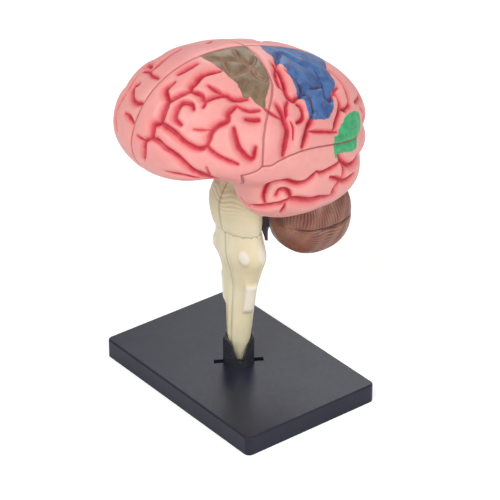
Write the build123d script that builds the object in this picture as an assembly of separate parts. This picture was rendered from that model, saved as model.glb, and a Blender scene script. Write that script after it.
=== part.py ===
from build123d import *
import os
import numpy as np
from scipy.interpolate import PchipInterpolator
from scipy.spatial import ConvexHull

# Take-apart anatomy model of the human brain on a plug-in stand.
#
# The frame's origin is the centre of the stand's underside. +Z is up, +X points to the brain's forehead
# and +Y to its left side. All lengths are millimetres.
#
# The brain comes apart along its middle and along two seams on each side: into a frontal, a parietal and
# a temporal lobe. The lobes sit on square pegs of an inner core (the two stem halves, the ventricles and
# the corpus callosum). The two halves of the cerebellum push onto pegs at the back of the stem.

# Fits between the pieces
SEAM_GAP = 0.3
SLIDE_CLEARANCE = 0.2
STEM_GAP = 0.1

# Stand
BASE_DEPTH = 67.0
BASE_WIDTH = 98.0
BASE_HEIGHT = 8.4
BASE_CORNER_RADIUS = 2.6
BASE_HOLLOW_RADIUS = 1.6
BASE_TOP_FILLET = 0.8
BASE_WALL = 2.4
BASE_PLATE = 2.6
RIB_THICKNESS = 1.6
PAD_RADIUS = 6.0
PAD_HEIGHT = 1.8

# Socket collar: it drops through a keyhole and turns a quarter under the plate
COLLAR_RADIUS = 6.6
COLLAR_TOP = 22.4
COLLAR_CHAMFER = 1.6
COLLAR_ANGLE = 58.0
COLLAR_CLEARANCE = 0.15
KEY_SPAN = 20.6
KEY_WIDTH = 2.4
KEY_HEIGHT = 1.8
SLIT_BOTTOM = 11.0
SLIT_BOTTOM_WIDTH = 1.6
SLIT_TOP_WIDTH = 12.4

# Cerebrum: an egg-shaped dome with a flattened floor, joined to a temporal lobe on each side
BRAIN_CENTRE = (-6.0, 15.0, 116.0)
DOME_CENTRE = (-1.25, 0.0, 116.2)
DOME_FRONT = 55.5
DOME_BACK = 59.8
DOME_HALF_WIDTH = 39.8
DOME_UP = 36.5
DOME_DOWN = 25.5
DOME_PITCH = 17.3
DOME_POWER = 2.2
FLOOR_HEIGHT = 109.8
FLOOR_SLOPE = -0.06
FLOOR_SOFTNESS = 32.0
TEMPORAL_CENTRE = (-11.6, 23.0, 104.1)
TEMPORAL_FRONT = 27.7
TEMPORAL_BACK = 28.2
TEMPORAL_HALF_WIDTH = 16.7
TEMPORAL_UP = 20.9
TEMPORAL_DOWN = 16.7
TEMPORAL_PITCH = 3.8
TEMPORAL_POWER = 2.4
OCCIPITAL_CENTRE = (-38.0, 13.0, 107.0)
OCCIPITAL_SIZE = (14.0, 13.0, 11.0)
LOBE_BLEND = 0.06

# Folds of the cortex
FOLD_DEPTH = 1.5
FOLD_HALF_WIDTH = 1.25
FOLD_STEP = 2.7
CROWN_POINTS = 620
CROWN_CLEAR = 2.3

# Core
MIDLINE_GAP = 0.15
POCKET_HALF_WIDTH = 14.2
THALAMUS_TOP = 115.0
VENTRICLE_TOP = 119.0
CALLOSUM_HALF_WIDTH = 9.5
PEG_SIZE = 3.6
PEG_REACH = 5.0
PEG_CHAMFER = 0.5

# Cerebellum
CEREBELLUM_CENTRE = (-25.8, 13.9, 77.4)
CEREBELLUM_SIZE = (16.9, 15.6, 16.5)
CEREBELLUM_POWER = 2.35
CEREBELLUM_MARGIN = 0.8
LEAF_STEP = 8.0
LEAF_TURN = 9
LEAF_DEPTH = 0.6
FISSURE_DEPTH = 1.2

# Seams seen from the side, as (forward, up) points
JUNCTION = (17.7, 122.0)
CENTRAL_SEAM = [
    (-4.0, 175.0), (-3.7, 153.5), (-1.0, 151.0), (1.5, 147.0), (5.5, 144.0),
    (9.5, 141.0), (13.0, 137.0), (15.5, 132.5), (17.0, 127.0), JUNCTION,
]
LATERAL_SEAM = [
    JUNCTION, (14.0, 121.3), (10.0, 122.5), (5.0, 123.1), (0.0, 123.3), (-5.0, 122.7),
    (-10.0, 121.9), (-15.0, 120.8), (-20.0, 119.5), (-30.0, 116.8), (-40.0, 115.0), (-80.0, 110.0),
]
FRONT_SEAM = [JUNCTION, (19.8, 120.6), (23.0, 119.7), (25.5, 119.3), (22.0, 111.5), (20.0, 60.0)]

# Stations of the core pegs on the left side
FRONTAL_PEG = (21.0, 124.2)
PARIETAL_PEG = (-4.0, 125.6)
TEMPORAL_PEG = (-6.0, 107.5)
CEREBELLUM_PEG = (10.8, 84.0)
CEREBELLUM_PEG_TIP = -18.0
CORE_PEG_TOP = 122.0
FRONT_MIDLINE_PEG = (33.0, 138.0)
BACK_MIDLINE_PEG = (-30.0, 134.0)
OCCIPITAL_PEG = (-40.0, 107.0)
CORE_OUTLINE = [
    (-27.0, 112.0), (-27.5, 118.0), (-24.0, 124.0), (-16.0, 127.6), (-4.0, 129.0), (8.0, 129.0),
    (17.0, 128.4), (22.5, 126.8), (25.0, 121.0), (24.0, 114.5), (16.5, 112.5), (16.5, 112.0),
]
POCKET_MARGIN = 0.4

LOBES = ("frontal", "parietal", "temporal")

# Outlines of the ventricles seen from the side and from the front
VENTRICLE_STRUT_HALF_WIDTH = 2.8
VENTRICLE_HALF_WIDTH = 6.5
VENTRICLE_OUTLINE = [
    (-14.2, 117.0), (-14.2, 102.0), (-9.6, 88.0), (-9.6, 76.0), (-13.9, 76.0), (-13.9, 88.5),
    (-18.4, 102.5), (-18.4, 117.0),
]

# The tail of the ventricles and the brain stem as sections: (height, half-depth, half-width, forward shift)
FOURTH = [
    (61.5, 0.6, 0.8, -14.6), (65.0, 1.0, 1.2, -14.1), (68.0, 1.7, 2.2, -13.4), (70.5, 2.9, 4.6, -12.9),
    (73.5, 3.7, 6.3, -12.7), (77.0, 3.7, 6.3, -12.7), (81.0, 2.9, 4.6, -12.3),
]
CORD = [
    (9.5, 2.2, 3.2, 0.0), (20.0, 4.2, 5.6, 0.0), (27.0, 4.5, 6.6, -0.3), (34.0, 4.7, 7.2, -0.6),
    (46.0, 5.5, 8.8, -1.0), (55.0, 6.8, 11.5, -1.2), (60.0, 7.8, 13.6, -1.2), (63.0, 8.0, 14.0, -1.0),
    (68.0, 7.6, 13.0, -0.6), (74.0, 7.2, 11.8, 0.0),
]
PONS = [
    (73.2, 7.7, 12.5, 0.6), (78.0, 8.2, 13.6, 1.1), (83.0, 8.6, 14.0, 1.5), (87.0, 8.5, 13.5, 1.6), (94.0, 6.9, 11.6, 0.7),
]
MIDBRAIN = [(92.0, 6.4, 9.5, 0.3), (97.0, 6.0, 8.6, -0.5), (104.0, 7.0, 9.5, -1.0)]
THALAMUS_CENTRE = (-1.5, 0.0, 108.5)
THALAMUS_SIZE = (12.0, 13.2, 8.2)

# Raised forms on the stem's left side: an oval swelling and, below it, an oblong pad
OLIVE_CENTRE = (4.6, 9.6, 63.8)
OLIVE_TURN = 29.0
OLIVE_SIZE = (1.4, 2.4, 3.7)
STEM_PAD_CENTRE = (0.7, 7.8, 42.6)
STEM_PAD_TURN = 64.0
STEM_PAD_TILT = 9.0
STEM_PAD_SIZE = (1.5, 4.2, 13.0)
STEM_PAD_CORNER = 1.2

# Folds, each as (along, around) angles seen from the middle of the left half: "along" is 0 degrees at the
# front tip and 180 at the back, "around" is 0 over the middle of the half, 90 at its side, 180 underneath
# and negative towards the midline. The number in front of each list is the fold's strength.
FRONTAL_FOLDS = [
    (1.1, [(57, -5), (53.5, -7), (49.5, -8), (45, -6.5), (42.5, -6), (40.5, -4)]),
    (1.0, [(40.5, -4), (38, -6.5), (35.3, -9), (33.5, -11.5), (35, -15), (37.5, -18), (41.5, -16.5)]),
    (1.1, [(33.5, -11.5), (30, -11), (26, -10), (24, -11), (23, -16), (19.3, -16.5), (17.8, -19)]),
    (0.9, [(17.8, -19), (17, -27), (15.3, -31), (13, -38), (11.5, -52)]),
    (0.7, [(17, -27), (18, -33), (19.5, -38)]),
    (1.1, [(18, -18), (17.3, -9), (15.6, 2), (14.8, 20), (14, 35), (13.8, 50), (15, 64), (18.5, 84)]),
    (0.6, [(20, 58), (18, 72), (16.6, 60)]),
    (1.1, [(24.3, -9), (22.8, 5), (21.8, 14), (21.5, 23), (22.7, 33), (24.5, 36), (26.5, 36)]),
    (1.1, [(26.5, 36), (28.6, 32), (31.5, 28), (35, 26.5), (40, 27), (43, 22.5), (48.5, 20.5)]),
    (0.6, [(32, 26.5), (29.5, 22), (28, 18)]),
    (1.1, [(40.5, -4), (41.3, 2), (40.5, 6.5), (44.5, 8.5), (48.3, 11), (49.5, 16), (55.5, 19.5)]),
    (0.8, [(40.5, 7), (39, 9), (37.5, 10)]),
    (1.1, [(47, 0.5), (47, 4.5), (48, 10)]),
    (0.8, [(48.5, 20.5), (50.2, 25), (52.3, 28), (57.5, 30)]),
    (1.3, [(47.7, 32), (50.3, 34.3), (53.6, 36)]),
    (1.1, [(40, 34.5), (38, 41), (37, 46.5), (36.6, 52.5), (38.3, 62.5), (40.5, 64.5), (44.2, 56)]),
    (0.9, [(26.5, 36), (26, 43), (27.5, 53), (30.8, 62.5), (32.5, 66)]),
    (1.0, [(34.5, 6.5), (35.8, 3), (35, -1.5), (32.8, -2.8), (28, -0.5), (27, 4), (26.7, 7)]),
    (1.1, [(45.5, -18.5), (50.5, -17.5), (54, -17)]),
    (0.6, [(4.5, 0), (5.5, 35), (8, 55), (13, 74)]),
]
RIGHT_FRONT_FOLDS = [
    (1.0, [(33, -9), (30.5, -6), (28.5, -10), (27.3, -17), (28, -23), (30, -28)]),
    (0.9, [(37.5, 1), (38.7, -6), (38.5, -12.5), (40, -20)]),
    (0.8, [(38.7, -7), (42, -8), (46.5, -6), (51, -3.5), (57, -2)]),
    (0.9, [(21.3, -18), (22.3, -26), (23, -35)]),
    (0.7, [(35, 4), (28, 0), (22, 2), (17, 5), (12, -12)]),
    (0.9, [(70, -7), (72.5, -6), (75, -3)]),
    (1.1, [(40.5, -4), (41.3, 2), (40.5, 8), (44.5, 10), (48.3, 12), (49.5, 16), (55.5, 19.5)]),
]
PARIETAL_FOLDS = [
    (0.6, [(61, 30.5), (62.5, 34), (64.5, 37), (70, 43)]),
    (1.2, [(91, -2), (89.3, 8), (87.5, 14), (85, 20), (83.7, 26), (87, 30), (90.5, 29)]),
    (0.9, [(88.5, 3), (85.5, 7), (83, 11.5), (81.8, 17), (83.7, 21)]),
    (1.5, [(70.5, 30.5), (71, 37), (70, 45.5), (69.7, 51), (67.5, 56), (64.5, 61.5), (60.6, 70.5)]),
    (1.0, [(81, 30), (77, 33.5), (74, 39), (71, 43)]),
    (0.6, [(75.5, 46), (75.5, 52), (72.5, 60)]),
    (1.1, [(88.8, 34), (91.5, 36), (92, 41), (89.7, 45.5), (85.5, 47.5), (81.5, 48)]),
    (1.3, [(103, 46), (99, 50), (95, 52.5), (90.7, 57), (87, 61.5), (83, 66.5), (80.5, 69.5)]),
    (0.7, [(92.7, 58.5), (101, 61.3), (110, 64), (119, 67.3), (126, 69.5)]),
    (0.9, [(144, 21), (138.5, 27), (139.5, 35), (139, 43), (134, 53), (127.5, 60.5), (122.5, 66.5)]),
    (1.1, [(139, 48), (145, 49.5), (150, 46), (151, 40)]),
    (1.0, [(142, -4), (146, -1), (149.7, 5.5), (152, 14), (152.5, 26), (151, 38)]),
    (0.9, [(148, -28), (157, -20), (165, -5), (168, 20), (164, 35), (158, 42)]),
    (0.7, [(163, 52), (166, 66), (163, 80)]),
    (0.9, [(97.5, 5), (100.5, 9.5), (102.5, 14), (102, 19), (98, 27), (90.5, 29)]),
    (0.9, [(98, 27), (104, 26.5), (107.5, 30.5), (107, 36), (105.5, 41), (103, 46)]),
    (0.9, [(108, -14), (114.5, -7), (118, -2.5), (123.5, -2), (128, 1), (128.5, 12), (128.5, 21), (125, 33)]),
    (0.8, [(112, 22), (117.5, 21.5), (123, 20.5), (128.5, 21)]),
    (0.8, [(105, -14), (98, -7), (92, 0)]),
    (0.8, [(125, 33), (130, 37), (134, 32), (138.5, 27)]),
]
TEMPORAL_FOLDS = [
    (0.9, [(51, 130), (48, 125), (46.8, 117), (47.3, 108.5), (49, 103), (52.5, 100.7), (58, 100.5)]),
    (0.9, [(58, 100.5), (64, 102), (70, 105.5), (77, 107.7), (83.5, 107.7), (89, 105.5), (96.3, 101)]),
    (0.8, [(96.3, 101), (103, 104), (112, 103.7), (119, 103), (125, 101)]),
    (0.9, [(57, 118), (58.3, 113.5), (61.5, 112), (65.7, 113), (68.5, 116), (70.5, 121)]),
    (1.0, [(70.5, 121), (68, 123), (63.5, 125.5), (58.5, 128.3), (54, 133), (46.5, 146)]),
    (1.6, [(70.5, 121), (74, 122.5), (81, 124), (88.5, 126), (95.5, 126.5), (101, 126.5)]),
    (1.0, [(101, 126.5), (107, 129), (111.5, 129), (112.8, 124), (115, 121.3), (119.5, 119)]),
    (0.7, [(40, 160), (43, 157), (46, 152)]),
    (0.7, [(67.5, 127), (68, 133), (68.5, 139)]),
    (1.1, [(124, 93), (125.5, 100), (128.5, 106), (131.5, 111), (137, 113), (143, 111)]),
    (1.0, [(126, 101), (126.2, 109), (123.8, 114.5), (119.5, 119)]),
    (0.9, [(111, 111.5), (116.5, 115), (121, 119.3), (126, 121.5), (133, 121.5)]),
]


def turned(point, centre, pitch):
    """Coordinates of points in a frame at centre whose X axis is pitched up by an angle."""
    angle = np.radians(pitch)
    x, y, z = (point - np.array(centre)).T
    along = x * np.cos(angle) + z * np.sin(angle)
    up = -x * np.sin(angle) + z * np.cos(angle)
    return along, y, up


def egg(point, centre, pitch, front, back, half_width, above, below, power):
    """1 on the surface of an egg with different half-lengths ahead, behind, above and below, less inside."""
    along, side, up = turned(point, centre, pitch)
    length = np.where(along > 0, front, back)
    height = np.where(up > 0, above, below)
    round_part = (side / half_width) ** 2 + (up / height) ** 2
    return (np.abs(along / length) ** power + round_part ** (power / 2)) ** (1 / power)


def left_half(point):
    """1 on the surface of the left half of the cerebrum, less inside."""
    dome = egg(point, DOME_CENTRE, DOME_PITCH, DOME_FRONT, DOME_BACK, DOME_HALF_WIDTH,
               DOME_UP, DOME_DOWN, DOME_POWER)
    floor = 1 + (FLOOR_HEIGHT + FLOOR_SLOPE * point[:, 0] - point[:, 2]) / FLOOR_SOFTNESS
    dome = (dome ** 10 + np.maximum(floor, 0) ** 10) ** 0.1
    temporal = egg(point, TEMPORAL_CENTRE, TEMPORAL_PITCH, TEMPORAL_FRONT, TEMPORAL_BACK,
                   TEMPORAL_HALF_WIDTH, TEMPORAL_UP, TEMPORAL_DOWN, TEMPORAL_POWER)
    occipital = np.linalg.norm((point - np.array(OCCIPITAL_CENTRE)) / np.array(OCCIPITAL_SIZE), axis=1)
    forms = [-form / LOBE_BLEND for form in (dome, temporal, occipital)]
    return -LOBE_BLEND * np.logaddexp.reduce(forms)


def reach(directions, centre, shape, furthest=130.0):
    """Where rays from a centre leave a shape, found by halving."""
    near = np.zeros(len(directions))
    far = np.full(len(directions), furthest)
    for _ in range(22):
        middle = (near + far) / 2
        inside = shape(np.array(centre) + directions * middle[:, None]) < 1
        near = np.where(inside, middle, near)
        far = np.where(inside, far, middle)
    return np.array(centre) + directions * near[:, None]


def spread_directions(count):
    """Directions spread evenly over a sphere."""
    step = np.arange(count) + 0.5
    down = np.arccos(1 - 2 * step / count)
    turn = np.pi * (1 + 5 ** 0.5) * step
    return np.stack([np.cos(turn) * np.sin(down), np.sin(turn) * np.sin(down), np.cos(down)], 1)


def from_angles(pairs):
    """Directions of (along, around) angles."""
    along, around = np.radians(np.array(pairs, float)).T
    return np.stack([np.cos(along), np.sin(along) * np.sin(around), np.sin(along) * np.cos(around)], 1)


def smooth_path(points, samples=16):
    """A smooth curve through points."""
    padded = np.vstack([2 * points[0] - points[1], points, 2 * points[-1] - points[-2]])
    t = np.linspace(0, 1, samples, endpoint=False)[:, None]
    curve = []
    for a, b, c, d in zip(padded, padded[1:], padded[2:], padded[3:]):
        curve.append(0.5 * (2 * b + (c - a) * t + (2 * a - 5 * b + 4 * c - d) * t ** 2
                            + (3 * b - a - 3 * c + d) * t ** 3))
    return np.vstack(curve + [points[-1:]])


def even_stations(curve, step):
    """Points along a curve at even steps."""
    run = np.concatenate([[0], np.cumsum(np.linalg.norm(np.diff(curve, axis=0), axis=1))])
    count = max(2, int(round(run[-1] / step)) + 1)
    return np.stack([np.interp(np.linspace(0, run[-1], count), run, curve[:, k]) for k in range(3)], 1)


def unit(vectors):
    return vectors / np.linalg.norm(vectors, axis=1)[:, None]


class Folds:
    """The folds of one closed form: where they run, and how deep its surface is at any point."""

    def __init__(self, paths, centre, shape, step, half_width, depth):
        self.half_width = half_width
        self.lines = []
        for strength, directions in paths:
            curve = reach(unit(smooth_path(directions)), centre, shape)
            self.lines.append((strength, even_stations(curve, step), even_stations(curve, 0.7)))
        self.points = np.vstack([fine for _, _, fine in self.lines])
        self.widths = np.concatenate([np.full(len(fine), half_width * s) for s, _, fine in self.lines])
        self.depths = np.concatenate([np.full(len(fine), depth * min(s, 1.2)) for s, _, fine in self.lines])

    def sink(self, surface):
        """How far each surface point lies below the crowns."""
        out = np.zeros(len(surface))
        for start in range(0, len(surface), 500):
            part = surface[start:start + 500]
            gap = np.linalg.norm(part[:, None] - self.points[None], axis=2)
            ratio = np.clip(1 - (gap / (1.9 * self.widths)) ** 2, 0, 1)
            out[start:start + 500] = (self.depths * ratio ** 2).max(axis=1)
        return out

    def rows(self, centre):
        """Points along each fold's floor and its two shoulders."""
        floors = []
        shoulders = []
        for strength, stations, _ in self.lines:
            ahead = np.gradient(stations, axis=0)
            across = unit(np.cross(ahead, stations - np.array(centre)))
            floors.append(stations)
            for side in (-1.25, 1.25):
                shoulders.append(stations + side * self.half_width * strength * across)
        return np.vstack(floors), np.vstack(shoulders)


def thinned(groups, clear):
    """Points of several groups in order, without those too near an earlier one."""
    kept = groups[0][:1]
    for group in groups:
        for point in group:
            if np.linalg.norm(kept - point, axis=1).min() > clear:
                kept = np.vstack([kept, point])
    return kept


def faceted(points, centre, left=True):
    """A closed solid of flat triangles through points seen from a centre."""
    hull = ConvexHull(unit(points - np.array(centre)))
    side = 1 if left else -1
    corners = [Vector(float(x), side * float(y), float(z)) for x, y, z in points]
    faces = [Face(Wire.make_polygon([corners[i] for i in triangle])) for triangle in hull.simplices]
    return Solid(Shell(faces))


def folded_form(folds, shape, centre, crown_points, spared, left=True):
    """A closed form with folds sunk into its surface."""
    floor, shoulder = folds.rows(centre)
    crowns = reach(spread_directions(crown_points), centre, shape)
    gap = np.array([np.linalg.norm(folds.points - p, axis=1).min() for p in crowns])
    crowns = crowns[gap > CROWN_CLEAR]
    points = thinned([floor, shoulder, crowns], 0.85)
    points = points[~spared(points)]
    few = reach(spread_directions(140), centre, shape)
    points = np.vstack([points, few[spared(few)]])
    surface = reach(unit(points - np.array(centre)), centre, shape)
    inward = unit(surface - np.array(centre))
    return faceted(surface - inward * folds.sink(surface)[:, None], centre, left)


def side_profile(points, start, end):
    """A solid from a side-view outline, reaching from one distance off the midline to another."""
    face = make_face(Plane.XZ * Polyline(*points, close=True))
    return Pos(0, start, 0) * extrude(face, amount=end - start, dir=(0, 1, 0))


def mirrored(shape):
    return mirror(shape, about=Plane.XZ)


def pocket():
    """Room in the left lobes for the core, open at the midline."""
    upper = side_profile(inset(CORE_OUTLINE, -POCKET_MARGIN), -1, POCKET_HALF_WIDTH)
    lower = side_profile([(-27.4, 60), (14.0, 60), (14.0, 113), (-27.4, 113)], -1, POCKET_HALF_WIDTH)
    return upper + lower


def inset(outline, amount):
    """A closed outline drawn in by an amount, or out by a negative one, with sharp corners."""
    points = np.array(outline, float)
    before = points - np.roll(points, 1, axis=0)
    after = np.roll(points, -1, axis=0) - points
    turn = np.sign((points[:, 0] * np.roll(points[:, 1], -1) - points[:, 1] * np.roll(points[:, 0], -1)).sum())
    normals = [unit(np.stack([-edge[:, 1], edge[:, 0]], 1)) * turn for edge in (before, after)]
    mitre = (normals[0] + normals[1]) / (1 + (normals[0] * normals[1]).sum(axis=1))[:, None]
    return [(float(x), float(z)) for x, z in points + amount * mitre]


def lobe_regions():
    """Side-view prisms that part the left half into its three lobes."""
    far = 60.0
    frontal = CENTRAL_SEAM + FRONT_SEAM[1:] + [(90, 60), (90, 175)]
    parietal = CENTRAL_SEAM + LATERAL_SEAM[1:] + [(-80, 175)]
    temporal = LATERAL_SEAM[::-1] + FRONT_SEAM[1:] + [(-80, 60)]
    outlines = (frontal, parietal, temporal)
    return [side_profile(inset(outline, SEAM_GAP / 2), MIDLINE_GAP, far) for outline in outlines]


def cerebellum_room():
    """Hollows under the temporal lobe that let it slide outwards and the cerebellum slide back."""
    x, y, z = CEREBELLUM_CENTRE
    a, b, c = (size + CEREBELLUM_MARGIN for size in CEREBELLUM_SIZE)
    levels = [0.0, 0.35, 0.62, 0.82, 0.95, 1.0]
    starts = [-1.0] + [y + b * level for level in levels[1:]]
    power = CEREBELLUM_POWER
    turns = np.linspace(-np.pi / 2, np.pi / 2, 9)
    arc = [(np.cos(t) ** (2 / power), np.sign(t) * abs(np.sin(t)) ** (2 / power)) for t in turns]
    rooms = []
    for start, low, high in zip(starts, levels, levels[1:]):
        scale = (1 - low ** power) ** (1 / power)
        front = [(x + a * scale * along, z + c * scale * up) for along, up in arc]
        back = [(x - 45, z + c * scale), (x - 45, z - c * scale)]
        rooms.append(side_profile(front + back, start, y + b * high))
    return rooms


def peg_and_socket(start, end):
    """A peg and the socket that takes it, both as solids."""
    peg = square_bar(start, end, PEG_SIZE, PEG_CHAMFER)
    end = np.array(end, float)
    beyond = end + unit(np.array([end - np.array(start, float)]))[0] * 2 * SLIDE_CLEARANCE
    return peg, square_bar(start, beyond, PEG_SIZE + 2 * SLIDE_CLEARANCE, 0)


def square_bar(start, end, size, chamfered):
    """A square bar between two points on a line along X, Y or Z, chamfered at its far end."""
    start = np.array(start, float)
    end = np.array(end, float)
    length = np.abs(end - start)
    axis = int(length.argmax())
    sides = [size] * 3
    sides[axis] = float(length[axis])
    bar = Pos(*map(float, (start + end) / 2)) * Box(*sides)
    if chamfered:
        ends = bar.faces().sort_by((Axis.X, Axis.Y, Axis.Z)[axis])
        tip = ends[-1] if end[axis] > start[axis] else ends[0]
        bar = chamfer(tip.edges(), chamfered)
    return bar


def lobes(folds, left):
    """The frontal, parietal and temporal lobe of one side, both built on the left."""
    def spared(points):
        return points[:, 1] < -1.5
    form = folded_form(folds, left_half, BRAIN_CENTRE, CROWN_POINTS, spared)
    hollow = pocket()
    frontal, parietal, temporal = [(form & region) - hollow for region in lobe_regions()]
    for room in cerebellum_room():
        temporal = temporal - room
    wall = POCKET_HALF_WIDTH
    frontal = frontal - peg_and_socket((FRONTAL_PEG[0], wall - 2, FRONTAL_PEG[1]),
                                       (FRONTAL_PEG[0], wall + PEG_REACH, FRONTAL_PEG[1]))[1]
    parietal = parietal - peg_and_socket((PARIETAL_PEG[0], wall - 2, PARIETAL_PEG[1]),
                                         (PARIETAL_PEG[0], wall + PEG_REACH, PARIETAL_PEG[1]))[1]
    temporal = temporal - peg_and_socket((TEMPORAL_PEG[0], wall - 2, TEMPORAL_PEG[1]),
                                         (TEMPORAL_PEG[0], wall + PEG_REACH, TEMPORAL_PEG[1]))[1]
    pieces = []
    for piece, (x, z) in zip((frontal, parietal, temporal), (FRONT_MIDLINE_PEG, BACK_MIDLINE_PEG, OCCIPITAL_PEG)):
        if left:
            pieces.append(piece - peg_and_socket((x, -2, z), (x, PEG_REACH, z))[1])
        else:
            pieces.append(piece + peg_and_socket((x, PEG_REACH, z), (x, -PEG_REACH, z))[0])
    return pieces


def leaf_directions():
    """Directions over a cerebellum half: level leaves below its deep fissure, upright ones above it."""
    rows = []
    for number, height in enumerate(np.arange(-82.0, -3.0, LEAF_STEP)):
        count = max(8, int(40 * np.cos(np.radians(height))))
        turns = np.arange(count) * 360 / count + 4 * (number % 2)
        rows.append((turns, np.full(count, height), np.full(count, LEAF_DEPTH * (number % 2))))
    turns = np.arange(0, 360, LEAF_TURN)
    rows.append((turns + LEAF_TURN / 2, np.full(len(turns), 0.0), np.full(len(turns), FISSURE_DEPTH)))
    for height in (5.0, 17.0, 30.0, 43.0, 56.0, 68.0):
        fade = 1 if height < 50 else 0.5
        rows.append((turns, np.full(len(turns), height), LEAF_DEPTH * fade * (np.arange(len(turns)) % 2)))
    rows.append((np.arange(0, 360, 60), np.full(6, 80.0), np.zeros(6)))
    turn, rise, sink = (np.concatenate(part) for part in zip(*rows))
    turn, rise = np.radians(turn), np.radians(rise)
    return np.stack([np.cos(turn) * np.cos(rise), np.sin(turn) * np.cos(rise), np.sin(rise)], 1), sink


def cerebellum_half():
    """The left half of the cerebellum, with the room for the ventricles and its peg's socket."""
    directions, sink = leaf_directions()
    rounding = (np.abs(directions) ** CEREBELLUM_POWER).sum(axis=1) ** (1 / CEREBELLUM_POWER)
    surface = np.array(CEREBELLUM_CENTRE) + directions / rounding[:, None] * np.array(CEREBELLUM_SIZE)
    form = faceted(surface - directions * sink[:, None], CEREBELLUM_CENTRE)
    form = form & side_profile([(-80, 30), (20, 30), (20, 110), (-80, 110)], MIDLINE_GAP, 60)
    form = form - side_profile([(-17.5, 30), (20, 30), (20, 110), (-17.5, 110)], -1, VENTRICLE_HALF_WIDTH + 0.6)
    side, up = CEREBELLUM_PEG
    return form - peg_and_socket((-8, side, up), (CEREBELLUM_PEG_TIP, side, up))[1]


def lofted(sections, grown=0.0, step=4.0):
    """A smooth column through elliptical sections, grown all round by a clearance."""
    table = np.array(sections)
    heights = np.linspace(table[0, 0], table[-1, 0], max(4, int((table[-1, 0] - table[0, 0]) / step)))
    rings = []
    for height, (deep, wide, shift) in zip(heights, PchipInterpolator(table[:, 0], table[:, 1:])(heights)):
        rings.append(Pos(float(shift), 0, float(height)) * Ellipse(float(deep) + grown, float(wide) + grown))
    return loft(rings)


def stem_half():
    """The left half of the brain stem with the thalamus on top, and its pegs."""
    thalamus = Pos(*THALAMUS_CENTRE) * scale(Sphere(1), THALAMUS_SIZE)
    stem = lofted(CORD) + lofted(PONS) + lofted(MIDBRAIN) + thalamus
    stem = stem & side_profile([(-40, 0), (40, 0), (40, THALAMUS_TOP), (-40, THALAMUS_TOP)], STEM_GAP / 2, 40)
    stem = stem - side_profile(inset(VENTRICLE_OUTLINE, -0.2), -1, VENTRICLE_STRUT_HALF_WIDTH + 0.2)
    x, z = TEMPORAL_PEG
    stem = stem + peg_and_socket((x, 9, z), (x, POCKET_HALF_WIDTH + PEG_REACH, z))[0]
    side, up = CEREBELLUM_PEG
    stem = stem + peg_and_socket((-1, side, up), (CEREBELLUM_PEG_TIP, side, up))[0]
    olive = Pos(*OLIVE_CENTRE) * Rot(0, 0, OLIVE_TURN) * scale(Sphere(1), OLIVE_SIZE)
    pad = Box(*STEM_PAD_SIZE)
    pad = fillet(pad.edges().filter_by(Axis.X), STEM_PAD_CORNER)
    pad = Pos(*STEM_PAD_CENTRE) * Rot(0, 0, STEM_PAD_TURN) * Rot(0, STEM_PAD_TILT, 0) * pad
    half_peg = Pos(0, STEM_GAP / 2, THALAMUS_TOP - 2) * Box(
        PEG_SIZE, PEG_SIZE / 2, CORE_PEG_TOP - THALAMUS_TOP + 2, align=(Align.CENTER, Align.MIN, Align.MIN))
    return stem + olive + pad + half_peg


def ventricles():
    """The hollow spaces of the brain as one cast: a body, a strut behind the stem and a tail."""
    body = side_profile([(12, THALAMUS_TOP), (12, VENTRICLE_TOP), (-20, VENTRICLE_TOP), (-20, THALAMUS_TOP)], -8.5, 8.5)
    body = fillet(body.edges().filter_by(Axis.Z), 3)
    strut = side_profile(VENTRICLE_OUTLINE, -VENTRICLE_STRUT_HALF_WIDTH, VENTRICLE_STRUT_HALF_WIDTH)
    cast = body + strut + lofted(FOURTH, step=2.4)
    return cast - core_peg_room()


def core_peg_room():
    """The square hole that the stem's top peg stands in."""
    size = PEG_SIZE + 2 * SLIDE_CLEARANCE
    return Pos(0, 0, THALAMUS_TOP - 1) * Box(
        size, size, CORE_PEG_TOP - THALAMUS_TOP + 1.3, align=(Align.CENTER, Align.CENTER, Align.MIN))


def callosum():
    """The arched bridge over the ventricles, with a pair of pegs for the frontal and the parietal lobes."""
    bridge = side_profile(CORE_OUTLINE, -CALLOSUM_HALF_WIDTH, CALLOSUM_HALF_WIDTH)
    bridge = bridge - side_profile([(-20.6, 100), (-20.6, VENTRICLE_TOP), (14.5, VENTRICLE_TOP), (14.5, 100)], -20, 20)
    bridge = bridge - core_peg_room()
    for x, z in (FRONTAL_PEG, PARIETAL_PEG):
        for side in (-1, 1):
            tip = side * (POCKET_HALF_WIDTH + PEG_REACH)
            bridge = bridge + peg_and_socket((x, side * 4, z), (x, tip, z))[0]
    return bridge


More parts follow.
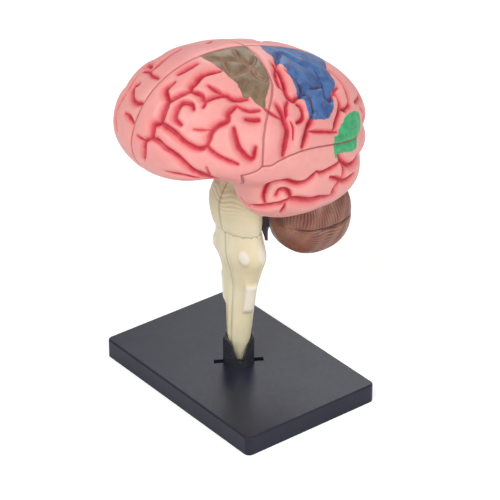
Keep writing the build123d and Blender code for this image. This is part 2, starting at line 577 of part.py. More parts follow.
def base():
    """The slab: a moulded tray, open underneath, with ribs, a centre pad and a keyhole for the collar."""
    slab = Pos(0, 0, BASE_HEIGHT / 2) * Box(BASE_DEPTH, BASE_WIDTH, BASE_HEIGHT)
    slab = fillet(slab.edges().filter_by(Axis.Z), BASE_CORNER_RADIUS)
    slab = fillet(slab.faces().sort_by(Axis.Z)[-1].edges(), BASE_TOP_FILLET)
    under = BASE_HEIGHT - BASE_PLATE
    hollow = Pos(0, 0, under / 2) * Box(BASE_DEPTH - 2 * BASE_WALL, BASE_WIDTH - 2 * BASE_WALL, under)
    hollow = fillet(hollow.edges().filter_by(Axis.Z), BASE_HOLLOW_RADIUS)
    ribs = Pos(0, 0, under / 2) * (Box(BASE_DEPTH - BASE_WALL, RIB_THICKNESS, under)
                                   + Box(RIB_THICKNESS, BASE_WIDTH - BASE_WALL, under))
    ribs = ribs - Pos(0, 0, PAD_HEIGHT) * Cylinder(KEY_SPAN / 2 + 1.2, BASE_HEIGHT, align=(Align.CENTER, Align.CENTER, Align.MIN))
    pad = Cylinder(PAD_RADIUS, PAD_HEIGHT, align=(Align.CENTER, Align.CENTER, Align.MIN))
    keyhole = Cylinder(COLLAR_RADIUS + COLLAR_CLEARANCE, 40) + Rot(0, 0, COLLAR_ANGLE + 90) * Box(KEY_SPAN + 0.4, KEY_WIDTH + 0.4, 40)
    keyhole = Pos(0, 0, PAD_HEIGHT + 20.5) * keyhole
    return slab - hollow - keyhole + (ribs + pad)


def socket_collar():
    """The collar: two jaws round the stem's foot, with wings that lock under the plate."""
    foot = PAD_HEIGHT + 0.4
    outline = [(0, foot), (COLLAR_RADIUS, foot), (COLLAR_RADIUS, COLLAR_TOP - COLLAR_CHAMFER),
               (COLLAR_RADIUS - 0.7 * COLLAR_CHAMFER, COLLAR_TOP), (0, COLLAR_TOP)]
    collar = revolve(Plane.XZ * make_face(Polyline(*outline, close=True)), Axis.Z)
    collar = collar - lofted(CORD, COLLAR_CLEARANCE)
    slit = [(-SLIT_BOTTOM_WIDTH / 2, SLIT_BOTTOM), (SLIT_BOTTOM_WIDTH / 2, SLIT_BOTTOM),
            (SLIT_TOP_WIDTH / 3.6, 19.0), (SLIT_TOP_WIDTH / 2, COLLAR_TOP + 0.2),
            (-SLIT_TOP_WIDTH / 2, COLLAR_TOP + 0.2), (-SLIT_TOP_WIDTH / 3.6, 19.0)]
    cut = extrude(make_face(Plane.YZ * Polyline(*slit, close=True)), amount=20, both=True)
    collar = collar - Rot(0, 0, COLLAR_ANGLE) * cut
    wing = Rot(0, 0, COLLAR_ANGLE) * Box(KEY_SPAN, KEY_WIDTH, KEY_HEIGHT)
    under = BASE_HEIGHT - BASE_PLATE
    return collar + Pos(0, 0, under - COLLAR_CLEARANCE - KEY_HEIGHT / 2) * wing


def write(name, shape):
    """Writes one piece as a STEP file."""
    export_step(shape, f"parts/{name}.step")
    print(name, len(shape.faces()), "faces", len(shape.solids()), "solids", round(shape.volume), "mm3", shape.is_valid)


def paths(folds):
    return [(strength, from_angles(pairs)) for strength, pairs in folds]


def main():
    os.makedirs("parts", exist_ok=True)
    write("base", base())
    write("socket_collar", socket_collar())
    half = stem_half()
    write("stem_left", half)
    write("stem_right", mirrored(half))
    write("ventricles", ventricles())
    write("corpus_callosum", callosum())
    half = cerebellum_half()
    write("cerebellum_left", half)
    write("cerebellum_right", mirrored(half))
    side_folds = PARIETAL_FOLDS + TEMPORAL_FOLDS
    hidden_front = [fold for fold in FRONTAL_FOLDS if min(around for _, around in fold[1]) > 4]
    left = Folds(paths(FRONTAL_FOLDS + side_folds), BRAIN_CENTRE, left_half, FOLD_STEP, FOLD_HALF_WIDTH, FOLD_DEPTH)
    right = Folds(paths(RIGHT_FRONT_FOLDS + hidden_front + side_folds), BRAIN_CENTRE, left_half,
                  FOLD_STEP, FOLD_HALF_WIDTH, FOLD_DEPTH)
    for name, piece in zip(LOBES, lobes(left, True)):
        write(name + "_lobe_left", piece)
    for name, piece in zip(LOBES, lobes(right, False)):
        write(name + "_lobe_right", mirrored(piece))


main()
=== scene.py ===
import math
import bmesh
import bpy
import numpy as np
from mathutils import Matrix, Vector
from mathutils.kdtree import KDTree


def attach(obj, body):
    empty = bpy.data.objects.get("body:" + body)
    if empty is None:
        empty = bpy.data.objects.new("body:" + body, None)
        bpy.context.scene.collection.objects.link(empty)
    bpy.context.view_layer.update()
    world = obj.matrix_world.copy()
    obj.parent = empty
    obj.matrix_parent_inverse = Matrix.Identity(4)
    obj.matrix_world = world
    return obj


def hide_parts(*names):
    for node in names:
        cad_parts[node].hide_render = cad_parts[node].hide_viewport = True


# Take-apart brain model. Lengths are millimetres, as in the CAD source, and mesh() and fast_mesh() turn them
# into metres.
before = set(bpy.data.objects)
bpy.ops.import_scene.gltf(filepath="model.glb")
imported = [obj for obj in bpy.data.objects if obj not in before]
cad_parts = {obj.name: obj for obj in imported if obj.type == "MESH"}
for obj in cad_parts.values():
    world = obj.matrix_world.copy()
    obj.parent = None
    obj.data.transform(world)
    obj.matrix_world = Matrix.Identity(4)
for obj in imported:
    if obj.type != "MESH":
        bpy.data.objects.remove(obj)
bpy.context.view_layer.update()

# Fits and sizes shared with the CAD source
SEAM_GAP = 0.3
SLIDE_CLEARANCE = 0.2
STEM_GAP = 0.1
MIDLINE_GAP = 0.15
BRAIN_CENTRE = np.array((-6.0, 15.0, 116.0))
# Egg forms: (centre, pitch in degrees, reach to the front, back, side, top and bottom, roundness)
DOME = ((-1.25, 0.0, 116.2), 17.3, 55.5, 59.8, 39.8, 36.5, 25.5, 2.2)
TEMPORAL = ((-11.6, 23.0, 104.1), 3.8, 27.7, 28.2, 16.7, 20.9, 16.7, 2.4)
OCCIPITAL_CENTRE = np.array((-38.0, 13.0, 107.0))
OCCIPITAL_SIZE = np.array((14.0, 13.0, 11.0))
FLOOR_HEIGHT, FLOOR_SLOPE, FLOOR_SOFTNESS = 109.8, -0.06, 32.0
DOME_EDGE = 10
# The front of the underside stands higher than in the CAD source: (x, half-width, height) of the rise
FRONT_RISE = (33.5, 10.5, 6.8)
LOBE_BLEND = 0.06
POCKET_HALF_WIDTH = 14.2
POCKET_MARGIN = 0.4
STEM_ROOM = [(-27.4, 60), (14.0, 60), (14.0, 113), (-27.4, 113)]
PEG_SIZE, PEG_REACH, PEG_CHAMFER = 3.6, 5.0, 0.5
CEREBELLUM_CENTRE = np.array((-25.8, 13.9, 77.4))
CEREBELLUM_SIZE = np.array((16.9, 15.6, 16.5))
CEREBELLUM_POWER = 2.35
CEREBELLUM_MARGIN = 0.8
CEREBELLUM_ROOM_LEVELS = [0.0, 0.35, 0.62, 0.82, 0.95, 1.0]
CEREBELLUM_ROOM_LENGTH = 45
VENTRICLE_HALF_WIDTH = 6.5
VENTRICLE_STRUT_HALF_WIDTH = 2.8
VENTRICLE_CLEARANCE = 0.6
THALAMUS_TOP = 115.0
CORE_PEG_TOP = 122.0
THALAMUS_CENTRE, THALAMUS_SIZE = (-1.5, 0.0, 108.5), (12.0, 13.2, 8.2)
# Seams, pegs and outlines in the side view: (x, z)
JUNCTION = (17.7, 122.0)
CENTRAL_SEAM = [(-4.0, 175.0), (-3.7, 153.5), (-1.0, 151.0), (1.5, 147.0), (5.5, 144.0),
                (9.5, 141.0), (13.0, 137.0), (15.5, 132.5), (17.0, 127.0), JUNCTION]
LATERAL_SEAM = [JUNCTION, (14.0, 121.3), (10.0, 122.5), (5.0, 123.1), (0.0, 123.3), (-5.0, 122.7),
                (-10.0, 121.9), (-15.0, 120.8), (-20.0, 119.5), (-30.0, 116.8), (-40.0, 115.0),
                (-80.0, 110.0)]
FRONT_SEAM = [JUNCTION, (19.8, 120.6), (23.0, 119.7), (25.5, 119.3), (22.0, 111.5), (20.0, 60.0)]
FRONTAL_PEG, PARIETAL_PEG, TEMPORAL_PEG = (21.0, 124.2), (-4.0, 125.6), (-6.0, 107.5)
LOBES, LOBE_PEGS = ("frontal", "parietal", "temporal"), (FRONTAL_PEG, PARIETAL_PEG, TEMPORAL_PEG)
MIDLINE_PEGS = ((33.0, 138.0), (-30.0, 134.0), (-40.0, 107.0))
# The cerebellum's peg: (distance off the midline, height), and where it ends along the length
CEREBELLUM_PEG, CEREBELLUM_PEG_TIP = (10.8, 84.0), -18.0
CORE_OUTLINE = [(-27.0, 112.0), (-27.5, 118.0), (-24.0, 124.0), (-16.0, 127.6), (-4.0, 129.0), (8.0, 129.0),
                (17.0, 128.4), (22.5, 126.8), (25.0, 121.0), (24.0, 114.5), (16.5, 112.5), (16.5, 112.0)]
VENTRICLE_OUTLINE = [(-14.2, 117.0), (-14.2, 102.0), (-9.6, 88.0), (-9.6, 76.0), (-13.9, 76.0),
                     (-13.9, 88.5), (-18.4, 102.5), (-18.4, 117.0)]
# Stem sections: (height, half depth, half width, shift to the front)
CORD = [(9.5, 2.2, 3.2, 0.0), (20.0, 4.2, 5.6, 0.0), (27.0, 4.5, 6.6, -0.3), (34.0, 4.7, 7.2, -0.6),
        (46.0, 5.5, 8.8, -1.0), (55.0, 6.8, 11.5, -1.2), (60.0, 7.8, 13.6, -1.2), (63.0, 8.0, 14.0, -1.0),
        (68.0, 7.6, 13.0, -0.6), (74.0, 7.2, 11.8, 0.0)]
PONS = [(73.2, 7.7, 12.5, 0.6), (78.0, 8.2, 13.6, 1.1), (83.0, 8.6, 14.0, 1.5), (87.0, 8.5, 13.5, 1.6),
        (94.0, 6.9, 11.6, 0.7)]
MIDBRAIN = [(92.0, 6.4, 9.5, 0.3), (97.0, 6.0, 8.6, -0.5), (104.0, 7.0, 9.5, -1.0)]
STEM_FOOT, STEM_TOP = 9.5, 104.0
STEM_ROWS, STEM_COLUMNS = 380, 300
PONS_EDGE, PONS_EDGE_BLUR = 73.4, 0.28
PONS_TOP, PONS_TOP_BLUR = 93.4, 0.6

# Raised forms beside the stem: (degrees from the front, half-width in degrees, height, half-height)
OLIVE = (44.5, 12.5, 63.8, 3.9)
STEM_PAD = (72.6, 22.0, 42.6, 6.5)
PALE_PATCH = (99, 19, 64.6, 4.8)
OLIVE_RISE, PAD_RISE, PATCH_RISE, PAD_EDGE = 0.95, 1.4, 0.3, 0.09
# The front ridges, the midline, the bands of the pons and the teeth at its step
RIDGE_RISE, STEM_LINE_DEPTH, BAND_DEPTH, TEETH_DEPTH = 0.3, 0.4, 0.22, 0.45
BAND_MIDDLE, BAND_SPACING, BAND_GATHER, BAND_WANDER = 84.0, 1.55, 0.7, 1.5
# The hollow down the stem's front: (depth, height, half-height)
WAIST = (1.3, 47.0, 11.0)

# Folds as (strength, [(along, around)]), in degrees from the front and round the length, seen from
# BRAIN_CENTRE. They are the CAD source's, apart from BROWN_FOLDS.
FRONTAL_FOLDS = [
    (1.1, [(57, -5), (53.5, -7), (49.5, -8), (45, -6.5), (42.5, -6), (40.5, -4)]),
    (1.0, [(40.5, -4), (38, -6.5), (35.3, -9), (33.5, -11.5), (35, -15), (37.5, -18), (41.5, -16.5)]),
    (1.1, [(33.5, -11.5), (30, -11), (26, -10), (24, -11), (23, -16), (19.3, -16.5), (17.8, -19)]),
    (0.9, [(17.8, -19), (17, -27), (15.3, -31), (13, -38), (11.5, -52)]),
    (0.7, [(17, -27), (18, -33), (19.5, -38)]),
    (1.1, [(18, -18), (17.3, -9), (15.6, 2), (14.8, 20), (14, 35), (13.8, 50), (15, 64), (18.5, 84)]),
    (0.6, [(20, 58), (18, 72), (16.6, 60)]),
    (1.1, [(24.3, -9), (22.8, 5), (21.8, 14), (21.5, 23), (22.7, 33), (24.5, 36), (26.5, 36)]),
    (1.1, [(26.5, 36), (28.6, 32), (31.5, 28), (35, 26.5), (40, 27), (43, 22.5), (48.5, 20.5)]),
    (0.6, [(32, 26.5), (29.5, 22), (28, 18)]),
    (1.1, [(40.5, -4), (41.3, 2), (40.5, 6.5), (44.5, 8.5), (48.3, 11), (49.5, 16), (55.5, 19.5)]),
    (0.8, [(40.5, 7), (39, 9), (37.5, 10)]),
    (1.1, [(47, 0.5), (47, 4.5), (48, 10)]),
    (0.8, [(48.5, 20.5), (50.2, 25), (52.3, 28), (57.5, 30)]),
    (1.3, [(47.7, 32), (50.3, 34.3), (53.6, 36)]),
    (1.1, [(40, 34.5), (38, 41), (37, 46.5), (36.6, 52.5), (38.3, 62.5), (40.5, 64.5), (44.2, 56)]),
    (0.9, [(26.5, 36), (26, 43), (27.5, 53), (30.8, 62.5), (32.5, 66)]),
    (1.0, [(34.5, 6.5), (35.8, 3), (35, -1.5), (32.8, -2.8), (28, -0.5), (27, 4), (26.7, 7)]),
    (1.1, [(45.5, -18.5), (50.5, -17.5), (54, -17)]),
    (0.6, [(4.5, 0), (5.5, 35), (8, 55), (13, 74)]),
]
# Shallow folds of the brown field, on the left half only
BROWN_FOLDS = [
    (0.7, [(76.2, -18.4), (73.4, -12.4), (73.2, -7.2)]),
    (0.8, [(59.8, -17), (61.5, -13.7), (64, -11.3), (68.3, -9.8), (71.8, -6.8), (72.5, -1.2)]),
    (0.8, [(62.6, -9.6), (60.4, -5.1), (59.3, -0.2), (61.6, 1.1), (67.3, 0), (72.5, -1.2)]),
    (0.6, [(72.5, -1.2), (77.9, -4.5), (82.6, -8.7)]),
    (0.9, [(72.5, -1.2), (72.2, 1.6), (71.5, 5), (72.5, 8.9), (74.3, 10.5)]),
]
RIGHT_FRONT_FOLDS = [
    (1.0, [(33, -9), (30.5, -6), (28.5, -10), (27.3, -17), (28, -23), (30, -28)]),
    (0.9, [(37.5, 1), (38.7, -6), (38.5, -12.5), (40, -20)]),
    (0.8, [(38.7, -7), (42, -8), (46.5, -6), (51, -3.5), (57, -2)]),
    (0.9, [(21.3, -18), (22.3, -26), (23, -35)]),
    (0.7, [(35, 4), (28, 0), (22, 2), (17, 5), (12, -12)]),
    (0.9, [(70, -7), (72.5, -6), (75, -3)]),
    (1.1, [(40.5, -4), (41.3, 2), (40.5, 8), (44.5, 10), (48.3, 12), (49.5, 16), (55.5, 19.5)]),
]
PARIETAL_FOLDS = [
    (0.6, [(61, 30.5), (62.5, 34), (64.5, 37), (70, 43)]),
    (1.2, [(91, -2), (89.3, 8), (87.5, 14), (85, 20), (83.7, 26), (87, 30), (90.5, 29)]),
    (0.9, [(88.5, 3), (85.5, 7), (83, 11.5), (81.8, 17), (83.7, 21)]),
    (1.5, [(70.5, 30.5), (71, 37), (70, 45.5), (69.7, 51), (67.5, 56), (64.5, 61.5), (60.6, 70.5)]),
    (1.0, [(81, 30), (77, 33.5), (74, 39), (71, 43)]),
    (0.6, [(75.5, 46), (75.5, 52), (72.5, 60)]),
    (1.1, [(88.8, 34), (91.5, 36), (92, 41), (89.7, 45.5), (85.5, 47.5), (81.5, 48)]),
    (1.3, [(103, 46), (99, 50), (95, 52.5), (90.7, 57), (87, 61.5), (83, 66.5), (80.5, 69.5)]),
    (0.7, [(92.7, 58.5), (101, 61.3), (110, 64), (119, 67.3), (126, 69.5)]),
    (0.9, [(144, 21), (138.5, 27), (139.5, 35), (139, 43), (134, 53), (127.5, 60.5), (122.5, 66.5)]),
    (1.1, [(139, 48), (145, 49.5), (150, 46), (151, 40)]),
    (1.0, [(142, -4), (146, -1), (149.7, 5.5), (152, 14), (152.5, 26), (151, 38)]),
    (0.9, [(148, -28), (157, -20), (165, -5), (168, 20), (164, 35), (158, 42)]),
    (0.7, [(163, 52), (166, 66), (163, 80)]),
    (0.9, [(97.5, 5), (100.5, 9.5), (102.5, 14), (102, 19), (98, 27), (90.5, 29)]),
    (0.9, [(98, 27), (104, 26.5), (107.5, 30.5), (107, 36), (105.5, 41), (103, 46)]),
    (0.9, [(108, -14), (114.5, -7), (118, -2.5), (123.5, -2), (128, 1), (128.5, 12), (128.5, 21),
          (125, 33)]),
    (0.8, [(112, 22), (117.5, 21.5), (123, 20.5), (128.5, 21)]),
    (0.8, [(105, -14), (98, -7), (92, 0)]),
    (0.8, [(125, 33), (130, 37), (134, 32), (138.5, 27)]),
]
TEMPORAL_FOLDS = [
    (0.9, [(51, 130), (48, 125), (46.8, 117), (47.3, 108.5), (49, 103), (52.5, 100.7), (58, 100.5)]),
    (0.9, [(58, 100.5), (64, 102), (70, 105.5), (77, 107.7), (83.5, 107.7), (89, 105.5), (96.3, 101)]),
    (0.8, [(96.3, 101), (103, 104), (112, 103.7), (119, 103), (125, 101)]),
    (0.9, [(57, 118), (58.3, 113.5), (61.5, 112), (65.7, 113), (68.5, 116), (70.5, 121)]),
    (1.0, [(70.5, 121), (68, 123), (63.5, 125.5), (58.5, 128.3), (54, 133), (46.5, 146)]),
    (1.6, [(70.5, 121), (74, 122.5), (81, 124), (88.5, 126), (95.5, 126.5), (101, 126.5)]),
    (1.0, [(101, 126.5), (107, 129), (111.5, 129), (112.8, 124), (115, 121.3), (119.5, 119)]),
    (0.7, [(40, 160), (43, 157), (46, 152)]),
    (0.7, [(67.5, 127), (68, 133), (68.5, 139)]),
    (1.1, [(124, 93), (125.5, 100), (128.5, 106), (131.5, 111), (137, 113), (143, 111)]),
    (1.0, [(126, 101), (126.2, 109), (123.8, 114.5), (119.5, 119)]),
    (0.9, [(111, 111.5), (116.5, 115), (121, 119.3), (126, 121.5), (133, 121.5)]),
]

# Painted fields on the left half, as (along, around) outlines
BROWN_FIELD = [
    (60, -24), (59, -20), (58.6, -15.5), (58, -8.5), (57.8, -2.5), (57, 3.5), (57, 8.5), (56, 13),
    (54.5, 18), (57.5, 20), (57.8, 25), (60.3, 30), (62.5, 29.5), (64.5, 25.5), (70, 20), (75.5, 14.5),
    (78.5, 9.5), (81, 4), (82.5, -1.5), (83.5, -6.5), (84, -11), (85.5, -17), (88, -24),
]
BLUE_FIELD = [
    (97, -26), (94, -15.5), (93.7, -10.5), (96, -8), (93, -3), (97, 0), (98.5, 4), (96.5, 12), (94.8, 20),
    (93.3, 26), (94.8, 29), (97.5, 33.5), (96.5, 40), (96.7, 46), (98.5, 48), (104.5, 51), (110.5, 53),
    (118.5, 53.5), (125, 49), (131, 42.5), (134.7, 34.5), (134.7, 28.5), (141, 22), (142, 13), (140.5, 7),
    (141.5, -1), (143, -13), (146, -32),
]
GREEN_FIELD = [
    (151.5, 54), (157, 58), (157.5, 66), (157, 76), (155, 85), (149, 92), (146, 97), (143.5, 101),
    (138, 99), (128.5, 94.5), (122.5, 93.5), (118.5, 95), (117.5, 91), (116.5, 84.5), (118, 79.5),
    (120, 72.5), (125.5, 72.5), (128.5, 67), (133.5, 63), (139, 57.5), (146, 55),
]
FIELDS = {"brown": BROWN_FIELD, "blue": BLUE_FIELD, "green": GREEN_FIELD}

# A fold is a wide bowl with a narrow crease in it
FOLD_DEPTH, FOLD_HALF_WIDTH, DEEPEST_STRENGTH = 1.5, 1.25, 1.2
BOWL_WIDTH, BOWL_SHARE = 1.9, 0.75
CREASE_WIDTH, CREASE_SHARE = 0.75, 0.45
FOLD_STEP, FOLD_TAPER_STEPS = 0.6, 5.0
FOLD_END_WIDTH, FOLD_END_DEPTH = 0.7, 0.65
CROWN_BULGE, CROWN_SPREAD = 0.75, 4.8
SEAM_ROUND, SEAM_ROUND_WIDTH = 0.6, 0.8
MIDLINE_ROUND, MIDLINE_ROUND_WIDTH = 0.5, 0.9
SEAM_BULGE_SHARE = 0.3
SWELL, SWELL_LENGTH, SWELL_MARGIN = 0.14, 13.0, 3.0
CORTEX_LEVELS, CEREBELLUM_LEVELS = 8, 7
# How far a ray is searched, how often it is halved, and how many points are handled at a time
FURTHEST, HALVINGS = 130.0, 22
FOLD_CHUNK, FIELD_CHUNK = 4000, 6000
FIELD_EDGE_STEP, FIELD_RADIUS = 0.5, 45
MIDLINE_MARGIN = 2.5

# The cerebellum's leaves: spacing and wander in degrees, above and below the fissure, and the depths
LEAF_SPACING, LEAF_WANDER = (4.4, 4.2), (2.4, 3.4)
LEAF_DEPTH, FISSURE_DEPTH, CEREBELLUM_SWELL = 0.5, 1.1, 0.1

# The furthest distances that the paint knows, and what inner faces get
PAINT_REACH, FIELD_REACH, FOLD_REACH = 9.0, 6.0, 40.0
NO_PAINT = {"fold": PAINT_REACH, "seam": PAINT_REACH, "middle": PAINT_REACH,
            "brown": -FIELD_REACH, "blue": -FIELD_REACH, "green": -FIELD_REACH}
# Inner faces: how level or upright they are, and how far they lie off the skin, in metres
FLAT_BELOW, UPRIGHT_ABOVE, OFF_SKIN = 0.004, 0.9998, 0.00035

# Stage, in metres. The camera was fitted to the photo.
CAMERA_PLACE = (0.545645, 0.700185, 0.572827)
CAMERA_AHEAD = np.array((-0.536357, -0.680748, -0.498902))
CAMERA_RIGHT = np.array((-0.785486, 0.618879, 0.0))
CAMERA_LENS, CAMERA_SENSOR, CAMERA_CLIP = 180.0, 36.0, (0.05, 20.0)
LIGHT_TARGET, LIGHT_SIZE = (0.0, 0.0, 0.09), 0.9
LIGHTS = (("key", (0.9, 0.35, 1.1), 10.0), ("fill", (-0.2, 1.2, 0.6), 4.6),
          ("back", (-0.9, -0.7, 0.9), 4.0))
FLOOR_GLOW, WORLD_LIGHT = 0.42, 0.42
# Half the floor's side, in millimetres
FLOOR_HALF = 3000


# Forms

def unit(vectors):
    """The vectors at length 1."""
    return vectors / np.linalg.norm(vectors, axis=-1, keepdims=True)


def egg(point, centre, pitch, front, back, half_width, above, below, power):
    """1 on the surface of an egg form, less inside."""
    angle = math.radians(pitch)
    x, side, z = (point - np.array(centre)).T
    along = x * math.cos(angle) + z * math.sin(angle)
    up = -x * math.sin(angle) + z * math.cos(angle)
    length = np.where(along > 0, front, back)
    height = np.where(up > 0, above, below)
    round_part = (side / half_width) ** 2 + (up / height) ** 2
    return (np.abs(along / length) ** power + round_part ** (power / 2)) ** (1 / power)


def left_half(point):
    """1 on the smooth surface of the left half of the cerebrum, less inside."""
    x, width, height = FRONT_RISE
    rise = height * np.exp(-((point[:, 0] - x) / width) ** 2)
    floor = 1 + (FLOOR_HEIGHT + FLOOR_SLOPE * point[:, 0] + rise - point[:, 2]) / FLOOR_SOFTNESS
    dome = (egg(point, *DOME) ** DOME_EDGE + np.maximum(floor, 0) ** DOME_EDGE) ** (1 / DOME_EDGE)
    occipital = np.linalg.norm((point - OCCIPITAL_CENTRE) / OCCIPITAL_SIZE, axis=1)
    forms = [-form / LOBE_BLEND for form in (dome, egg(point, *TEMPORAL), occipital)]
    return -LOBE_BLEND * np.logaddexp.reduce(forms)


def reach(directions):
    """Where rays from BRAIN_CENTRE leave the smooth surface of the left half, found by halving."""
    near = np.zeros(len(directions))
    far = np.full(len(directions), FURTHEST)
    for _ in range(HALVINGS):
        middle = (near + far) / 2
        inside = left_half(BRAIN_CENTRE + directions * middle[:, None]) < 1
        near = np.where(inside, middle, near)
        far = np.where(inside, far, middle)
    return BRAIN_CENTRE + directions * near[:, None]


def from_angles(pairs):
    """Unit vectors from (along, around) pairs in degrees."""
    along, around = np.radians(np.array(pairs, float)).T
    return np.stack([np.cos(along), np.sin(along) * np.sin(around), np.sin(along) * np.cos(around)], 1)


def smooth_path(points, samples=16):
    """A smooth curve through points, with so many samples between two of them."""
    padded = np.vstack([2 * points[0] - points[1], points, 2 * points[-1] - points[-2]])
    t = np.linspace(0, 1, samples, endpoint=False)[:, None]
    curve = [0.5 * (2 * b + (c - a) * t + (2 * a - 5 * b + 4 * c - d) * t ** 2
                    + (3 * b - a - 3 * c + d) * t ** 3)
             for a, b, c, d in zip(padded, padded[1:], padded[2:], padded[3:])]
    return np.vstack(curve + [points[-1:]])


def even_stations(curve, step):
    """Points along a curve, about one step apart."""
    run = np.concatenate([[0], np.cumsum(np.linalg.norm(np.diff(curve, axis=0), axis=1))])
    count = max(2, int(round(run[-1] / step)) + 1)
    return np.stack([np.interp(np.linspace(0, run[-1], count), run, curve[:, k]) for k in range(3)], 1)


def ripple(points, wavelength, seed):
    """A smooth random field of about -1 to 1, the same on every run."""
    rng = np.random.default_rng(seed)
    waves = unit(rng.normal(size=(9, 3))) * (2 * math.pi / wavelength) * rng.uniform(0.7, 1.3, (9, 1))
    return np.sin(points @ waves.T + rng.uniform(0, 6.28, 9)).sum(axis=1) / 3.6


def fold_stations(folds):
    """Points along all folds, with the half-width and the depth at each."""
    points, widths, depths = [], [], []
    for strength, pairs in folds:
        line = even_stations(reach(unit(smooth_path(from_angles(pairs)))), FOLD_STEP)
        from_end = np.minimum(np.arange(len(line)), np.arange(len(line))[::-1])
        taper = np.clip(from_end / FOLD_TAPER_STEPS, 0.0, 1.0)
        depth = FOLD_DEPTH * min(strength, DEEPEST_STRENGTH)
        points.append(line)
        widths.append(FOLD_HALF_WIDTH * strength * (FOLD_END_WIDTH + (1 - FOLD_END_WIDTH) * taper))
        depths.append(depth * (FOLD_END_DEPTH + (1 - FOLD_END_DEPTH) * taper))
    return np.vstack(points), np.concatenate(widths), np.concatenate(depths)


def fold_fields(surface, folds):
    """How deep the folds sink each point, and how far off the nearest fold is, in half-widths and in mm."""
    points, widths, depths = fold_stations(folds)
    sink = np.zeros(len(surface))
    scaled = np.full(len(surface), PAINT_REACH)
    nearest = np.full(len(surface), FOLD_REACH)
    squares = (points ** 2).sum(axis=1)
    for start in range(0, len(surface), FOLD_CHUNK):
        rows = slice(start, start + FOLD_CHUNK)
        part = surface[rows]
        gap = np.maximum((part ** 2).sum(axis=1)[:, None] + squares[None] - 2 * part @ points.T, 0)
        bowl = np.clip(1 - gap / (BOWL_WIDTH * widths) ** 2, 0, 1)
        crease = np.clip(1 - np.sqrt(gap) / (CREASE_WIDTH * widths), 0, 1)
        sink[rows] = (depths * (BOWL_SHARE * bowl ** 2 + CREASE_SHARE * crease)).max(axis=1)
        scaled[rows] = np.sqrt((gap / widths ** 2).min(axis=1))
        nearest[rows] = np.sqrt(gap.min(axis=1))
    return sink, np.minimum(scaled, PAINT_REACH), nearest


def segment_distance(points, outline):
    """Distance of 2-D points from an open polyline."""
    best = np.full(len(points), 1e9)
    outline = np.array(outline, float)
    for a, b in zip(outline, outline[1:]):
        ahead = b - a
        t = np.clip(((points - a) @ ahead) / (ahead @ ahead), 0, 1)
        best = np.minimum(best, np.linalg.norm(points - a - t[:, None] * ahead, axis=1))
    return best


def inside_outline(points, outline):
    """Even-odd test of 2-D points."""
    inside = np.zeros(len(points), bool)
    x, y = points.T
    for (x0, y0), (x1, y1) in zip(outline, outline[1:] + outline[:1]):
        if y0 != y1:
            crosses = (y0 > y) != (y1 > y)
            inside ^= crosses & (x < (x1 - x0) * (y - y0) / (y1 - y0) + x0)
    return inside


def field_distance(directions, surface, outline):
    """Signed distance in mm from a painted field's edge, positive inside it."""
    along = np.degrees(np.arccos(np.clip(directions[:, 0], -1, 1)))
    around = np.degrees(np.arctan2(directions[:, 1], directions[:, 2]))
    inside = inside_outline(np.stack([along, around], 1), outline)
    corners = unit(smooth_path(from_angles(outline + outline[:1]), 6))
    edge = even_stations(reach(corners), FIELD_EDGE_STEP)
    gap = np.full(len(surface), FIELD_REACH)
    near = np.linalg.norm(surface - edge.mean(axis=0), axis=1) < FIELD_RADIUS
    index = np.nonzero(near)[0]
    for start in range(0, len(index), FIELD_CHUNK):
        rows = index[start:start + FIELD_CHUNK]
        part = surface[rows]
        square = (part ** 2).sum(axis=1)[:, None] + (edge ** 2).sum(axis=1)[None] - 2 * part @ edge.T
        gap[rows] = np.sqrt(np.maximum(square.min(axis=1), 0))
    return np.where(inside, 1, -1) * np.minimum(gap, FIELD_REACH)


def smoothed(values, edges):
    """A per-vertex value, averaged half and half with its neighbours."""
    count = np.bincount(edges.ravel(), minlength=len(values))
    total = np.bincount(edges[:, 0], values[edges[:, 1]], len(values))
    total += np.bincount(edges[:, 1], values[edges[:, 0]], len(values))
    return 0.5 * values + 0.5 * total / count


# Meshes

def placed(name, data):
    """A new object in the scene."""
    made = bpy.data.objects.new(name, data)
    bpy.context.scene.collection.objects.link(made)
    return made


def mesh(name, points, faces):
    """A mesh object from millimetre points."""
    data = bpy.data.meshes.new(name)
    data.from_pydata((np.asarray(points, float) * 0.001).tolist(), [], faces)
    data.update()
    return placed(name, data)


def read(items, key, width, kind=float):
    """One value of all vertices, edges or faces, in rows."""
    values = np.empty(len(items) * width, kind)
    items.foreach_get(key, values)
    return values.reshape(-1, width)


def sphere_directions(levels):
    """The directions, triangles and edges of an icosphere."""
    bm = bmesh.new()
    bmesh.ops.create_icosphere(bm, subdivisions=levels, radius=1.0)
    data = bpy.data.meshes.new("sphere")
    bm.to_mesh(data)
    bm.free()
    points, faces = read(data.vertices, "co", 3), read(data.polygons, "vertices", 3, int)
    edges = read(data.edges, "vertices", 2, int)
    bpy.data.meshes.remove(data)
    return unit(points), faces, edges


def fast_mesh(name, points, faces):
    """A mesh object from many millimetre points and triangles."""
    data = bpy.data.meshes.new(name)
    data.vertices.add(len(points))
    data.vertices.foreach_set("co", (points * 0.001).ravel())
    data.loops.add(len(faces) * 3)
    data.loops.foreach_set("vertex_index", faces.ravel())
    data.polygons.add(len(faces))
    data.polygons.foreach_set("loop_start", np.arange(len(faces)) * 3)
    data.update(calc_edges=True)
    data.validate()
    return placed(name, data)


def inset(outline, amount):
    """A closed outline drawn in by an amount, or out by a negative one."""
    points = np.array(outline, float)
    before = points - np.roll(points, 1, axis=0)
    following = np.roll(points, -1, axis=0)
    after = following - points
    turn = np.sign((points[:, 0] * following[:, 1] - points[:, 1] * following[:, 0]).sum())
    normals = [unit(np.stack([-edge[:, 1], edge[:, 0]], 1)) * turn for edge in (before, after)]
    mitre = (normals[0] + normals[1]) / (1 + (normals[0] * normals[1]).sum(axis=1))[:, None]
    return [tuple(p) for p in points + amount * mitre]


